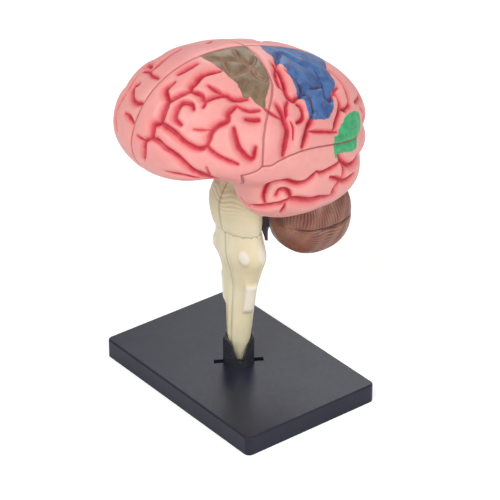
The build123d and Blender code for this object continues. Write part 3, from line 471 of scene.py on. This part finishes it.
def prism(outline, start, end):
    """A cutter from a side-view outline, reaching from one distance off the midline to another."""
    area = sum(a[0] * b[1] - a[1] * b[0] for a, b in zip(outline, outline[1:] + outline[:1]))
    ring = list(outline) if area > 0 else list(outline)[::-1]
    count = len(ring)
    points = [(x, start, z) for x, z in ring] + [(x, end, z) for x, z in ring]
    faces = [tuple(range(count)), tuple(range(2 * count - 1, count - 1, -1))]
    faces += [(i, i + count, (i + 1) % count + count, (i + 1) % count) for i in range(count)]
    return mesh("cutter", points, faces)


def bar(start, end, size, chamfered=0.0):
    """A square bar along X, Y or Z, chamfered at its far end."""
    start, end = np.array(start, float), np.array(end, float)
    axis = int(np.abs(end - start).argmax())
    others = [k for k in range(3) if k != axis]
    ahead = np.sign(end[axis] - start[axis])
    rings = [(start[axis], size / 2), (end[axis], size / 2 - chamfered)]
    if chamfered:
        rings.insert(1, (end[axis] - ahead * chamfered, size / 2))
    points = []
    for place, half in rings:
        for a, b in ((-1, -1), (1, -1), (1, 1), (-1, 1)):
            point = np.zeros(3)
            point[axis] = place
            point[others[0]] = start[others[0]] + a * half
            point[others[1]] = start[others[1]] + b * half
            points.append(point)
    last = 4 * (len(rings) - 1)
    faces = [(0, 1, 2, 3), (last + 3, last + 2, last + 1, last)]
    for row in range(len(rings) - 1):
        for i in range(4):
            faces.append((4 * row + i, 4 * row + 4 + i, 4 * row + 4 + (i + 1) % 4, 4 * row + (i + 1) % 4))
    made = mesh("cutter", points, faces)
    outward(made)
    return made


def outward(made):
    """Points every face of a closed mesh outwards."""
    bm = bmesh.new()
    bm.from_mesh(made.data)
    bmesh.ops.recalc_face_normals(bm, faces=bm.faces)
    bm.to_mesh(made.data)
    bm.free()


def combined(name, body, steps):
    """The body after boolean steps, each (operation, cutter). The cutters are removed."""
    for number, (operation, cutter) in enumerate(steps):
        outward(cutter)
        change = body.modifiers.new(f"step_{number}", "BOOLEAN")
        change.operation = operation
        change.solver = "MANIFOLD"
        change.object = cutter
    bpy.context.view_layer.update()
    graph = bpy.context.evaluated_depsgraph_get()
    data = bpy.data.meshes.new_from_object(body.evaluated_get(graph))
    data.name = name
    made = placed(name, data)
    body.modifiers.clear()
    for _, cutter in steps:
        bpy.data.objects.remove(cutter)
    return made


def flipped(made):
    """Mirrors a left piece to the right."""
    made.data.transform(Matrix.Scale(-1, 4, (0, 1, 0)))
    made.data.flip_normals()
    return made


# Cortex

def seam_rounding(surface):
    """How far the edges along the seams and the midline are rounded off."""
    side = surface[:, [0, 2]]
    seams = (CENTRAL_SEAM, LATERAL_SEAM, FRONT_SEAM)
    seam = np.minimum.reduce([segment_distance(side, line) for line in seams])
    middle = np.maximum(surface[:, 1], 0)
    sink = SEAM_ROUND * np.exp(-(seam / SEAM_ROUND_WIDTH) ** 2)
    return np.maximum(sink, MIDLINE_ROUND * np.exp(-(middle / MIDLINE_ROUND_WIDTH) ** 2)), seam, middle


def cortex_form(side, folds):
    """The whole folded half as one closed mesh, with the paint's distances for every vertex."""
    directions, faces, edges = sphere_directions(CORTEX_LEVELS)
    surface = reach(directions)
    count = len(surface)
    wanted = surface[:, 1] > -MIDLINE_MARGIN
    sink, scaled, nearest = np.zeros(count), np.full(count, PAINT_REACH), np.full(count, FOLD_REACH)
    sink[wanted], scaled[wanted], nearest[wanted] = fold_fields(surface[wanted], folds)
    bulge = CROWN_BULGE * np.clip(1 - nearest / CROWN_SPREAD, 0, 1) ** 2
    rounding, seam, middle = seam_rounding(surface)
    swell = SWELL * ripple(surface, SWELL_LENGTH, 3) * np.clip(surface[:, 1] / SWELL_MARGIN, 0, 1)
    depth = smoothed(np.maximum(sink + bulge, rounding + SEAM_BULGE_SHARE * bulge), edges) - swell
    paint = {"fold": scaled, "seam": np.minimum(seam, PAINT_REACH),
             "middle": np.minimum(middle, PAINT_REACH)}
    for name, outline in FIELDS.items():
        paint[name] = (field_distance(directions, surface, outline) if side == "left"
                       else np.full(count, -FIELD_REACH))
    return fast_mesh("form_" + side, surface - directions * depth[:, None], faces), paint


def cortex_regions():
    """Side outlines of the frontal, parietal and temporal lobe, drawn in by half the gap of the seams."""
    frontal = CENTRAL_SEAM + FRONT_SEAM[1:] + [(90, 60), (90, 175)]
    parietal = CENTRAL_SEAM + LATERAL_SEAM[1:] + [(-80, 175)]
    temporal = LATERAL_SEAM[::-1] + FRONT_SEAM[1:] + [(-80, 60)]
    return [inset(outline, SEAM_GAP / 2) for outline in (frontal, parietal, temporal)]


def core_room():
    """Cutters that leave room for the core in the lobes."""
    outlines = (inset(CORE_OUTLINE, -POCKET_MARGIN), STEM_ROOM)
    return [("DIFFERENCE", prism(outline, -1, POCKET_HALF_WIDTH)) for outline in outlines]


def cerebellum_room():
    """Cutters that let the temporal lobe slide outwards and the cerebellum slide back."""
    x, y, z = CEREBELLUM_CENTRE
    a, b, c = CEREBELLUM_SIZE + CEREBELLUM_MARGIN
    levels, power = CEREBELLUM_ROOM_LEVELS, CEREBELLUM_POWER
    starts = [-1.0] + [y + b * level for level in levels[1:]]
    turns = np.linspace(-math.pi / 2, math.pi / 2, 9)
    arc = [(abs(math.cos(t)) ** (2 / power), math.copysign(abs(math.sin(t)) ** (2 / power), t))
           for t in turns]
    steps = []
    for start, low, high in zip(starts, levels, levels[1:]):
        scale = (1 - low ** power) ** (1 / power)
        front = [(x + a * scale * along, z + c * scale * up) for along, up in arc]
        back = [(x - CEREBELLUM_ROOM_LENGTH, z + sign * c * scale) for sign in (1, -1)]
        steps.append(("DIFFERENCE", prism(front + back, start, y + b * high)))
    return steps


def lobe_steps(lobe, region, peg, pin, side):
    """The steps that cut one lobe out of the folded half, with its socket and hole or pin."""
    wall, hole = POCKET_HALF_WIDTH, PEG_SIZE + 2 * SLIDE_CLEARANCE
    steps = [("INTERSECT", prism(region, MIDLINE_GAP, 60.0))] + core_room()
    if lobe == "temporal":
        steps += cerebellum_room()
    x, z = peg
    end = (x, wall + PEG_REACH + 2 * SLIDE_CLEARANCE, z)
    steps.append(("DIFFERENCE", bar((x, wall - 2, z), end, hole)))
    x, z = pin
    if side == "left":
        steps.append(("DIFFERENCE", bar((x, -2, z), (x, PEG_REACH + 2 * SLIDE_CLEARANCE, z), hole)))
    else:
        steps.append(("UNION", bar((x, PEG_REACH, z), (x, -PEG_REACH, z), PEG_SIZE, PEG_CHAMFER)))
    return steps


def search_tree(form):
    """A search tree over a form's vertices, in metres."""
    tree = KDTree(len(form.data.vertices))
    for vertex in form.data.vertices:
        tree.insert(vertex.co, vertex.index)
    tree.balance()
    return tree


def carry_values(piece, tree, values, blank, reach_m=0.0006):
    """Gives a cut piece the values of the form's nearest vertices, and blank ones on its inner faces."""
    found = [tree.find(vertex.co) for vertex in piece.data.vertices]
    index = np.array([hit[1] for hit in found])
    off = np.array([hit[2] for hit in found]) > reach_m
    for name, given in values.items():
        layer = piece.data.attributes.new(name, "FLOAT", "POINT")
        layer.data.foreach_set("value", np.where(off, blank[name], given[index]))


def mark_inner_faces(lobe, tree):
    """Puts the faces that a cutter made on the second material, flat, and the skin on the first, smooth."""
    data = lobe.data
    across = np.abs(read(data.polygons, "normal", 3)[:, 1])
    centres = read(data.polygons, "center", 3)
    cut_like = (across < FLAT_BELOW) | (across > UPRIGHT_ABOVE)
    inner = np.zeros(len(centres), bool)
    for number in np.nonzero(cut_like)[0]:
        inner[number] = tree.find(centres[number])[2] > OFF_SKIN
    data.polygons.foreach_set("material_index", inner.astype(np.int32))
    data.polygons.foreach_set("use_smooth", ~inner)
    data.update()


# Materials

class Nodes:
    """Short names for building a node material."""

    def __init__(self, name):
        self.material = bpy.data.materials.new(name)
        self.material.use_nodes = True
        self.tree = self.material.node_tree
        self.shader = self.tree.nodes["Principled BSDF"]

    def put(self, socket, value):
        """Links a socket, or sets it directly. A colour gets its fourth value."""
        if isinstance(value, bpy.types.NodeSocket):
            self.tree.links.new(value, socket)
        else:
            socket.default_value = (*value, 1) if isinstance(value, tuple) else value

    def node(self, kind, inputs=None, **settings):
        made = self.tree.nodes.new(kind)
        for key, value in settings.items():
            setattr(made, key, value)
        for key, value in (inputs or {}).items():
            self.put(made.inputs[key], value)
        return made

    def math(self, operation, a, b=0.0):
        return self.node("ShaderNodeMath", {0: a, 1: b}, operation=operation).outputs[0]

    def step(self, value, low, high, to_low=0.0, to_high=1.0):
        """A smooth step from one value to another."""
        inputs = {0: value, 1: low, 2: high, 3: to_low, 4: to_high}
        return self.node("ShaderNodeMapRange", inputs, interpolation_type="SMOOTHSTEP").outputs[0]

    def mix(self, factor, a, b):
        return self.node("ShaderNodeMix", {0: factor, 6: a, 7: b}, data_type="RGBA").outputs[2]

    def noise(self, scale, detail=3.0, roughness=0.5):
        place = self.node("ShaderNodeTexCoord").outputs["Object"]
        inputs = {"Scale": scale, "Detail": detail, "Roughness": roughness, "Vector": place}
        return self.node("ShaderNodeTexNoise", inputs).outputs["Fac"]

    def value(self, name):
        return self.node("ShaderNodeAttribute", attribute_name=name).outputs["Fac"]

    def grain(self, soft, fine, share, strength, distance):
        """Bump from two noises, of which the soft one has the given share."""
        parts = self.math("MULTIPLY", soft, share), self.math("MULTIPLY", fine, 1 - share)
        inputs = {"Strength": strength, "Distance": distance, "Height": self.math("ADD", *parts)}
        self.put(self.shader.inputs["Normal"], self.node("ShaderNodeBump", inputs).outputs[0])

    def finish(self, colour, roughness, specular=0.5, coat=0.0, coat_roughness=0.2):
        inputs = self.shader.inputs
        self.put(inputs["Base Color"], colour)
        self.put(inputs["Roughness"], roughness)
        inputs["Specular IOR Level"].default_value = specular
        inputs["Coat Weight"].default_value = coat
        inputs["Coat Roughness"].default_value = coat_roughness
        return self.material


def srgb(red, green, blue):
    """A linear colour from 0-255 display values."""
    shares = (red / 255, green / 255, blue / 255)
    return tuple(v / 12.92 if v <= 0.04045 else ((v + 0.055) / 1.055) ** 2.4 for v in shares)


PINK, PALE_PINK, ROSE = srgb(241, 158, 154), srgb(246, 170, 163), srgb(238, 148, 148)
FOLD_RIM, FOLD_RED, FOLD_DARK = srgb(232, 106, 112), srgb(210, 46, 68), srgb(156, 22, 42)
# The first of these is painted shade along the gaps of the seams
SEAM_SHADE, MIDLINE_LINE = srgb(128, 44, 44), srgb(206, 96, 100)
CEREBELLUM_DARK, CEREBELLUM_LIGHT, CEREBELLUM_RED = srgb(110, 57, 44), srgb(145, 90, 69), srgb(140, 54, 44)
# Painted shade for the leaves' grooves, a painted highlight for their crests, and painted shade for the
# fissure
LEAF_GROOVE_SHADE, LEAF_CREST_HIGHLIGHT, FISSURE_SHADE = srgb(76, 36, 30), srgb(180, 138, 116), srgb(44, 24, 22)
# The last of these is painted shade for the sides of the stem
CREAM, PALE_CREAM, SIDE_SHADE_CREAM = srgb(232, 221, 183), srgb(239, 230, 199), srgb(234, 212, 172)
PAD_WHITE, STEM_LINE = srgb(246, 238, 226), srgb(176, 154, 100)
# Painted fields: light and dark coat, lines, folds and how strongly the lines show
FIELD_PAINT = {
    "brown": (srgb(142, 118, 92), srgb(116, 94, 72), srgb(168, 120, 98), srgb(168, 120, 98), 0.55),
    "blue": (srgb(76, 116, 172), srgb(54, 88, 146), srgb(72, 50, 92), srgb(72, 50, 92), 0.6),
    "green": (srgb(66, 186, 124), srgb(46, 158, 98), srgb(128, 214, 160), srgb(40, 120, 72), 0.3),
}


def cortex_paint(name, painted):
    """Pink skin with red folds, painted shade along the seams, and the painted fields on the left half."""
    n = Nodes(name)
    soft, fine, broad = n.noise(260.0), n.noise(1400.0, 4.0), n.noise(45.0, 2.0)
    pink = n.mix(n.step(broad, 0.3, 0.7), PINK, PALE_PINK)
    pink = n.mix(n.step(soft, 0.35, 0.75, 0.0, 0.35), pink, ROSE)
    fold = n.math("ADD", n.value("fold"), n.math("MULTIPLY", n.math("SUBTRACT", soft, 0.5), 0.9))
    colour = n.mix(n.step(fold, 0.4, 2.2, 0.75, 0.0), pink, FOLD_RIM)
    colour = n.mix(n.step(fold, 0.25, 1.1, 1.0, 0.0), colour, FOLD_RED)
    colour = n.mix(n.step(fold, 0.05, 0.45, 0.7, 0.0), colour, FOLD_DARK)
    if painted:
        wobble = n.math("MULTIPLY", n.math("SUBTRACT", n.noise(520.0, 3.0), 0.5), 1.5)
        vein = n.math("ABSOLUTE", n.math("SUBTRACT", n.noise(150.0, 2.0, 0.4), 0.5))
        for field, (light, dark, lines, deep, amount) in FIELD_PAINT.items():
            edge = n.math("ADD", n.value(field), wobble)
            mask = n.step(edge, -0.15, 0.3)
            coat = n.mix(n.step(soft, 0.3, 0.7), dark, light)
            coat = n.mix(n.step(vein, 0.004, 0.018, amount, 0.0), coat, lines)
            coat = n.mix(n.step(fold, 0.2, 0.85, 0.85, 0.0), coat, deep)
            colour = n.mix(mask, colour, coat)
    # Painted shade along the seams
    colour = n.mix(n.step(n.value("seam"), 0.12, 0.5, 0.6, 0.0), colour, SEAM_SHADE)
    colour = n.mix(n.step(n.value("middle"), 0.1, 0.7, 0.4, 0.0), colour, MIDLINE_LINE)
    n.grain(soft, fine, 0.7, 0.16, 0.0006)
    return n.finish(colour, n.step(fine, 0.3, 0.7, 0.36, 0.46), 0.45, 0.12, 0.28)


def plain_plastic(name, light, dark, scale=180.0, rough=(0.38, 0.5), bump=0.12, coat=0.05, specular=0.45):
    """Moulded plastic between two display colours, with a soft grain."""
    n = Nodes(name)
    soft, fine = n.noise(scale), n.noise(scale * 7, 4.0)
    colour = n.mix(n.step(soft, 0.3, 0.7), srgb(*dark), srgb(*light))
    n.grain(soft, fine, 0.6, bump, 0.0005)
    return n.finish(colour, n.step(fine, 0.3, 0.7, *rough), specular, coat, 0.3)


def cerebellum_paint():
    """Glossy reddish brown, with painted shade in the grooves and in the fissure and a painted highlight on
    the leaves' crests.
    """
    n = Nodes("cerebellum_paint")
    soft, fine, broad = n.noise(170.0), n.noise(900.0, 4.0), n.noise(60.0, 2.0)
    colour = n.mix(n.step(broad, 0.38, 0.62), CEREBELLUM_DARK, CEREBELLUM_LIGHT)
    colour = n.mix(n.step(soft, 0.5, 0.7, 0.0, 0.6), colour, CEREBELLUM_RED)
    leaf = n.value("leaf")
    # Painted shade in the grooves, a painted highlight on the crests and painted shade in the fissure
    colour = n.mix(n.step(leaf, 0.2, 0.8, 0.0, 0.65), colour, LEAF_GROOVE_SHADE)
    colour = n.mix(n.step(leaf, 0.0, 0.25, 0.35, 0.0), colour, LEAF_CREST_HIGHLIGHT)
    colour = n.mix(n.step(n.value("fissure"), 0.45, 1.0), colour, FISSURE_SHADE)
    n.grain(soft, fine, 0.5, 0.2, 0.0005)
    return n.finish(colour, n.step(fine, 0.3, 0.7, 0.26, 0.38), 0.5, 0.35, 0.18)


def stem_paint():
    """Cream, with painted shade at the sides, white pads and brown lines."""
    n = Nodes("stem_paint")
    soft, fine, broad = n.noise(150.0), n.noise(1100.0, 4.0), n.noise(50.0, 2.0)
    colour = n.mix(n.step(broad, 0.35, 0.65), CREAM, PALE_CREAM)
    # Painted shade on the stem's sides
    colour = n.mix(n.value("side_shade"), colour, SIDE_SHADE_CREAM)
    colour = n.mix(n.step(n.value("pad"), 0.25, 0.75, 0.0, 0.75), colour, PAD_WHITE)
    colour = n.mix(n.step(n.value("crease"), 0.3, 1.0, 0.0, 0.5), colour, STEM_LINE)
    n.grain(soft, fine, 0.6, 0.12, 0.0005)
    return n.finish(colour, n.step(soft, 0.3, 0.7, 0.28, 0.4), 0.5, 0.2, 0.2)


# Cerebellum

def cerebellum(side):
    """One half with fine leaves: upright above the deep fissure, running front to back below it."""
    directions, faces, edges = sphere_directions(CEREBELLUM_LEVELS)
    rise = np.degrees(np.arcsin(np.clip(directions[:, 2], -1, 1)))
    turn = np.degrees(np.arctan2(directions[:, 1], directions[:, 0]))
    roll = np.degrees(np.arctan2(directions[:, 2], directions[:, 1]))
    rounding = (np.abs(directions) ** CEREBELLUM_POWER).sum(axis=1) ** (1 / CEREBELLUM_POWER)
    surface = CEREBELLUM_CENTRE + directions / rounding[:, None] * CEREBELLUM_SIZE
    wander = ripple(surface, 11.0, 5)
    patches = 0.6 + 0.4 * ripple(surface, 7.0, 12)
    upright = 0.5 + 0.5 * np.cos(2 * math.pi * (turn + LEAF_WANDER[0] * wander) / LEAF_SPACING[0])
    level = 0.5 + 0.5 * np.cos(2 * math.pi * (roll + LEAF_WANDER[1] * wander) / LEAF_SPACING[1])
    fade = np.clip(np.hypot(directions[:, 1], directions[:, 2]) / 0.35, 0, 1)
    above = 1 / (1 + np.exp(-(rise - 3.0) / 2.0))
    leaf = np.clip((above * upright + (1 - above) * level * fade) * patches, 0, 1)
    fissure = np.exp(-((rise - 1.5 + 3.5 * np.cos(np.radians(turn - 90))) / 1.7) ** 2)
    fissure *= np.clip((np.abs(turn) - 15) / 30, 0, 1)
    carved = LEAF_DEPTH * leaf * (1 - 0.6 * fissure) + FISSURE_DEPTH * fissure
    depth = smoothed(carved, edges) - CEREBELLUM_SWELL
    form = fast_mesh("cerebellum_form", surface - directions * depth[:, None], faces)
    out, up = CEREBELLUM_PEG
    kept = prism([(-80, 30), (20, 30), (20, 110), (-80, 110)], MIDLINE_GAP, 60)
    tail_room = prism([(-17.5, 30), (20, 30), (20, 110), (-17.5, 110)], -1,
                      VENTRICLE_HALF_WIDTH + VENTRICLE_CLEARANCE)
    socket = bar((-8, out, up), (CEREBELLUM_PEG_TIP - 2 * SLIDE_CLEARANCE, out, up),
                 PEG_SIZE + 2 * SLIDE_CLEARANCE)
    steps = [("INTERSECT", kept), ("DIFFERENCE", tail_room), ("DIFFERENCE", socket)]
    made = combined("cerebellum_half_" + side, form, steps)
    tree = search_tree(form)
    carry_values(made, tree, {"leaf": leaf, "fissure": fissure}, {"leaf": 0.3, "fissure": 0.0}, 0.0008)
    mark_inner_faces(made, tree)
    bpy.data.objects.remove(form)
    return flipped(made) if side == "right" else made


# Stem

def sections_at(sections, heights):
    """Section sizes at given heights, straight between the listed ones."""
    table = np.array(sections)
    return np.stack([np.interp(heights, table[:, 0], table[:, column]) for column in range(1, 4)], 1)


def stem_sizes(heights):
    """The stem's half depth, half width and shift at each height, and how much of it is pons."""
    cord, pons, mid = (sections_at(part, heights) for part in (CORD, PONS, MIDBRAIN))
    low = 1 / (1 + np.exp(-(heights - PONS_EDGE) / PONS_EDGE_BLUR))
    high = 1 / (1 + np.exp(-(heights - PONS_TOP) / PONS_TOP_BLUR))
    size = cord * (1 - low)[:, None] + (pons * (1 - high)[:, None] + mid * high[:, None]) * low[:, None]
    kernel = np.hanning(13) / np.hanning(13).sum()
    size = np.stack([np.convolve(np.pad(size[:, k], 6, mode="edge"), kernel, "valid") for k in range(3)], 1)
    return size, (low * (1 - high))[:, None]


def pons_bands(z, cos, sin):
    """Fine uneven bands across the pons, wider apart at its sides."""
    rows = len(z)
    places = np.stack([7 * cos.repeat(rows, 0).ravel(), 9 * sin.repeat(rows, 0).ravel(), z.ravel()], 1)
    wander = ripple(places, 14.0, 8).reshape(z.shape)
    gathered = BAND_MIDDLE + (z - BAND_MIDDLE) * (1 + BAND_GATHER * np.abs(sin) ** 3)
    bands = 0.5 + 0.5 * np.cos(2 * math.pi * (gathered + BAND_WANDER * wander) / BAND_SPACING)
    return np.clip(bands, 0, 1) ** 1.6 * np.clip(0.65 + 0.5 * np.roll(wander, 17, axis=1), 0.1, 1)


def soft_patch(spread, z, patch):
    """1 in the middle of an oval patch on each side of the stem, 0 away from it."""
    turn, half_turn, height, half_height = patch
    return np.exp(-(((spread - turn) / half_turn) ** 2 + ((z - height) / half_height) ** 2) ** 2)


def column_faces(rows, columns):
    """The triangles of a closed column of rings, whose last two points are the middles of its ends."""
    grid = np.arange(rows * columns).reshape(rows, columns)
    a, b = grid[:-1], grid[1:]
    a2, b2 = np.roll(a, -1, axis=1), np.roll(b, -1, axis=1)
    foot, head = np.full(columns, rows * columns), np.full(columns, rows * columns + 1)
    return np.vstack([np.stack([a, a2, b2], -1).reshape(-1, 3), np.stack([a, b2, b], -1).reshape(-1, 3),
                      np.stack([foot, a2[0], a[0]], 1), np.stack([head, b[-1], b2[-1]], 1)])


def stem_column():
    """The stem as one closed dense column, with its paint values."""
    heights = np.linspace(STEM_FOOT, STEM_TOP, STEM_ROWS)
    size, pons_part = stem_sizes(heights)
    deep, wide, shift = (size[:, k][:, None] for k in range(3))
    turn = np.linspace(0, 2 * math.pi, STEM_COLUMNS, endpoint=False)
    cos, sin = np.cos(turn)[None], np.sin(turn)[None]
    z = np.repeat(heights[:, None], STEM_COLUMNS, axis=1)
    front = np.clip(cos, 0, 1)
    bands = pons_bands(z, cos, sin)
    around = np.degrees(np.arctan2(sin, cos))
    spread = np.abs(around)
    jag = 0.9 * np.abs(np.sin(np.radians(around * 7.5))) - 0.35
    teeth = np.exp(-((z - PONS_EDGE + 0.3 - jag) / 0.55) ** 2)
    middle = np.exp(-(around / 3.2) ** 2) + np.exp(-((spread - 180) / 4.0) ** 2)
    ridge = np.exp(-((spread - 15) / 8.0) ** 2) * (1 - pons_part)
    olive, pale = soft_patch(spread, z, OLIVE), soft_patch(spread, z, PALE_PATCH)
    beside = np.maximum(np.abs(spread - STEM_PAD[0]) / STEM_PAD[1], np.abs(z - STEM_PAD[2]) / STEM_PAD[3])
    pad = 1 / (1 + np.exp((beside - 1) / PAD_EDGE))
    lift = OLIVE_RISE * olive + PAD_RISE * pad + PATCH_RISE * pale + RIDGE_RISE * ridge
    lift = lift - STEM_LINE_DEPTH * middle * (1 - 0.4 * pons_part)
    lift -= BAND_DEPTH * bands * pons_part + TEETH_DEPTH * np.clip(teeth, 0, 1)
    waist_depth, waist_height, waist_half = WAIST
    waist = waist_depth * np.exp(-((z - waist_height) / waist_half) ** 2) * front ** 0.5
    x = shift + (deep + lift - waist) * cos
    y = (wide + lift) * sin
    ends = [[size[0, 2], 0, heights[0]], [size[-1, 2], 0, heights[-1]]]
    points = np.vstack([np.stack([x.ravel(), y.ravel(), z.ravel()], 1), ends])
    crease = 0.9 * middle * (front > 0.5) + 0.45 * bands * pons_part + 0.9 * np.clip(teeth, 0, 1)
    # Painted shade on both sides of the stem, round the middle of its height
    side_shade = 0.55 * np.exp(-((z - 60) / 16) ** 2) * np.exp(-((spread - 55) / 35) ** 2)
    values = {"crease": np.clip(crease, 0, 1), "pad": np.clip(olive + pad + 0.8 * pale, 0, 1), "side_shade": side_shade}
    values = {name: np.append(np.broadcast_to(given, z.shape).ravel(), [0.0, 0.0])
              for name, given in values.items()}
    return fast_mesh("stem_column", points, column_faces(STEM_ROWS, STEM_COLUMNS)), values


def ellipsoid(centre, size):
    """An ellipsoid cutter."""
    directions, faces, _ = sphere_directions(5)
    return fast_mesh("cutter", np.array(centre) + directions * np.array(size), faces)


def stem(side):
    """One half of the stem, with the thalamus and the pegs."""
    column, values = stem_column()
    cut = [(-40, 0), (40, 0), (40, THALAMUS_TOP), (-40, THALAMUS_TOP)]
    x, z = TEMPORAL_PEG
    out, up = CEREBELLUM_PEG
    half = STEM_GAP / 2
    peg = mesh("cutter", [(sx * PEG_SIZE / 2, y, h) for sx in (-1, 1) for y in (half, half + PEG_SIZE / 2)
                          for h in (THALAMUS_TOP - 2, CORE_PEG_TOP)],
               [(0, 1, 3, 2), (4, 6, 7, 5), (0, 4, 5, 1), (2, 3, 7, 6), (0, 2, 6, 4), (1, 5, 7, 3)])
    steps = [("UNION", ellipsoid(THALAMUS_CENTRE, THALAMUS_SIZE)),
             ("INTERSECT", prism(cut, half, 40)),
             ("DIFFERENCE", prism(inset(VENTRICLE_OUTLINE, -0.2), -1, VENTRICLE_STRUT_HALF_WIDTH + 0.2)),
             ("UNION", bar((x, 9, z), (x, POCKET_HALF_WIDTH + PEG_REACH, z), PEG_SIZE, PEG_CHAMFER)),
             ("UNION", bar((-1, out, up), (CEREBELLUM_PEG_TIP, out, up), PEG_SIZE, PEG_CHAMFER)),
             ("UNION", peg)]
    made = combined("brain_stem_" + side, column, steps)
    carry_values(made, search_tree(column), values, {"crease": 0.0, "pad": 0.0, "side_shade": 0.0})
    made.data.shade_smooth()
    made.data.set_sharp_from_angle(angle=math.radians(38))
    bpy.data.objects.remove(column)
    return flipped(made) if side == "right" else made


# Build

def dress(piece, *materials):
    """Gives a piece its materials in slot order, keeping which face uses which."""
    index = read(piece.data.polygons, "material_index", 1, np.int32).ravel()
    piece.data.materials.clear()
    for material in materials:
        piece.data.materials.append(material)
    piece.data.polygons.foreach_set("material_index", np.minimum(index, len(materials) - 1))


def build_cortex():
    """The six lobes."""
    side_folds = PARIETAL_FOLDS + TEMPORAL_FOLDS
    hidden_front = [fold for fold in FRONTAL_FOLDS if min(around for _, around in fold[1]) > 4]
    folds = {"left": FRONTAL_FOLDS + BROWN_FOLDS + side_folds,
             "right": RIGHT_FRONT_FOLDS + hidden_front + side_folds}
    skins = {"left": cortex_paint("cortex_paint_left", True),
             "right": cortex_paint("cortex_paint_right", False)}
    inner = plain_plastic("cortex_inside", (240, 164, 158), (233, 150, 146))
    for side in ("left", "right"):
        form, paint = cortex_form(side, folds[side])
        tree = search_tree(form)
        for lobe, region, peg, pin in zip(LOBES, cortex_regions(), LOBE_PEGS, MIDLINE_PEGS):
            piece = combined(f"{lobe}_cortex_{side}", form, lobe_steps(lobe, region, peg, pin, side))
            carry_values(piece, tree, paint, NO_PAINT)
            mark_inner_faces(piece, tree)
            if side == "right":
                flipped(piece)
            dress(piece, skins[side], inner)
            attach(piece, f"{lobe}_{side}")
            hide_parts(f"{lobe}_lobe_{side}")
        bpy.data.objects.remove(form)


def build_rest():
    """The cerebellum and the stem, and the finish of the pieces that come from the CAD source."""
    paint = cerebellum_paint()
    inside = plain_plastic("cerebellum_inside", (128, 98, 88), (112, 82, 74))
    for side in ("left", "right"):
        piece = cerebellum(side)
        dress(piece, paint, inside)
        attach(piece, "cerebellum_half_" + side)
        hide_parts("cerebellum_" + side)
    cream = stem_paint()
    for side in ("left", "right"):
        piece = stem(side)
        dress(piece, cream)
        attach(piece, "stand_and_core")
        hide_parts("stem_" + side)
    finishes = {
        "base": plain_plastic("base_plastic", (42, 44, 59), (37, 39, 53), 90.0,
                              rough=(0.28, 0.33), bump=0.03, coat=0.0, specular=0.28),
        "socket_collar": plain_plastic("collar_plastic", (54, 54, 63), (42, 42, 50), 200.0,
                                       rough=(0.26, 0.36), bump=0.1, coat=0.1),
        "ventricles": plain_plastic("ventricle_plastic", (104, 98, 104), (74, 70, 78), 260.0),
        "corpus_callosum": plain_plastic("callosum_plastic", (236, 228, 212), (224, 214, 196), 160.0),
    }
    for node, material in finishes.items():
        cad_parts[node].data.materials.clear()
        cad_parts[node].data.materials.append(material)


def area_light(name, place, power):
    """A round soft light that looks at the brain's stem."""
    data = bpy.data.lights.new(name, "AREA")
    data.shape = "DISK"
    data.size = LIGHT_SIZE
    data.energy = power
    made = placed(name, data)
    made.location = place
    made.rotation_euler = (Vector(LIGHT_TARGET) - Vector(place)).to_track_quat("-Z", "Y").to_euler()


def build_camera():
    """The camera that the photo was taken from."""
    camera = bpy.data.cameras.new("camera")
    camera.lens, camera.sensor_width = CAMERA_LENS, CAMERA_SENSOR
    camera.clip_start, camera.clip_end = CAMERA_CLIP
    holder = placed("camera", camera)
    back = -unit(CAMERA_AHEAD)
    right = unit(CAMERA_RIGHT)
    up = np.cross(back, right)
    turn = Matrix(np.stack([right, up, back], 1).tolist()).to_4x4()
    holder.matrix_world = Matrix.Translation(CAMERA_PLACE) @ turn
    bpy.context.scene.camera = holder


def build_floor():
    """A pale floor that looks white to the camera and keeps the shadow."""
    corners = [(x * FLOOR_HALF, y * FLOOR_HALF, 0) for x, y in ((-1, -1), (1, -1), (1, 1), (-1, 1))]
    floor = mesh("floor", corners, [(0, 1, 2, 3)])
    n = Nodes("floor_paint")
    n.finish((0.9, 0.9, 0.9), 0.9, 0.1)
    n.shader.inputs["Emission Color"].default_value = (1, 1, 1, 1)
    seen = n.node("ShaderNodeLightPath").outputs["Is Camera Ray"]
    n.put(n.shader.inputs["Emission Strength"], n.math("MULTIPLY", seen, FLOOR_GLOW))
    floor.data.materials.append(n.material)


def build_world():
    """White to the camera, and a softer light on the part."""
    world = bpy.data.worlds.new("studio")
    world.use_nodes = True
    bpy.context.scene.world = world
    tree = world.node_tree
    path = tree.nodes.new("ShaderNodeLightPath")
    level = tree.nodes.new("ShaderNodeMapRange")
    level.inputs["To Min"].default_value = WORLD_LIGHT
    level.inputs["To Max"].default_value = 1.0
    tree.links.new(path.outputs["Is Camera Ray"], level.inputs["Value"])
    tree.links.new(level.outputs[0], tree.nodes["Background"].inputs["Strength"])
    tree.nodes["Background"].inputs["Color"].default_value = (1, 1, 1, 1)


def build_stage():
    """The camera, the floor, the world and the lights."""
    bpy.context.scene.view_settings.view_transform = "Standard"
    build_camera()
    build_floor()
    build_world()
    for name, place, power in LIGHTS:
        area_light(name, place, power)


build_cortex()
build_rest()
build_stage()
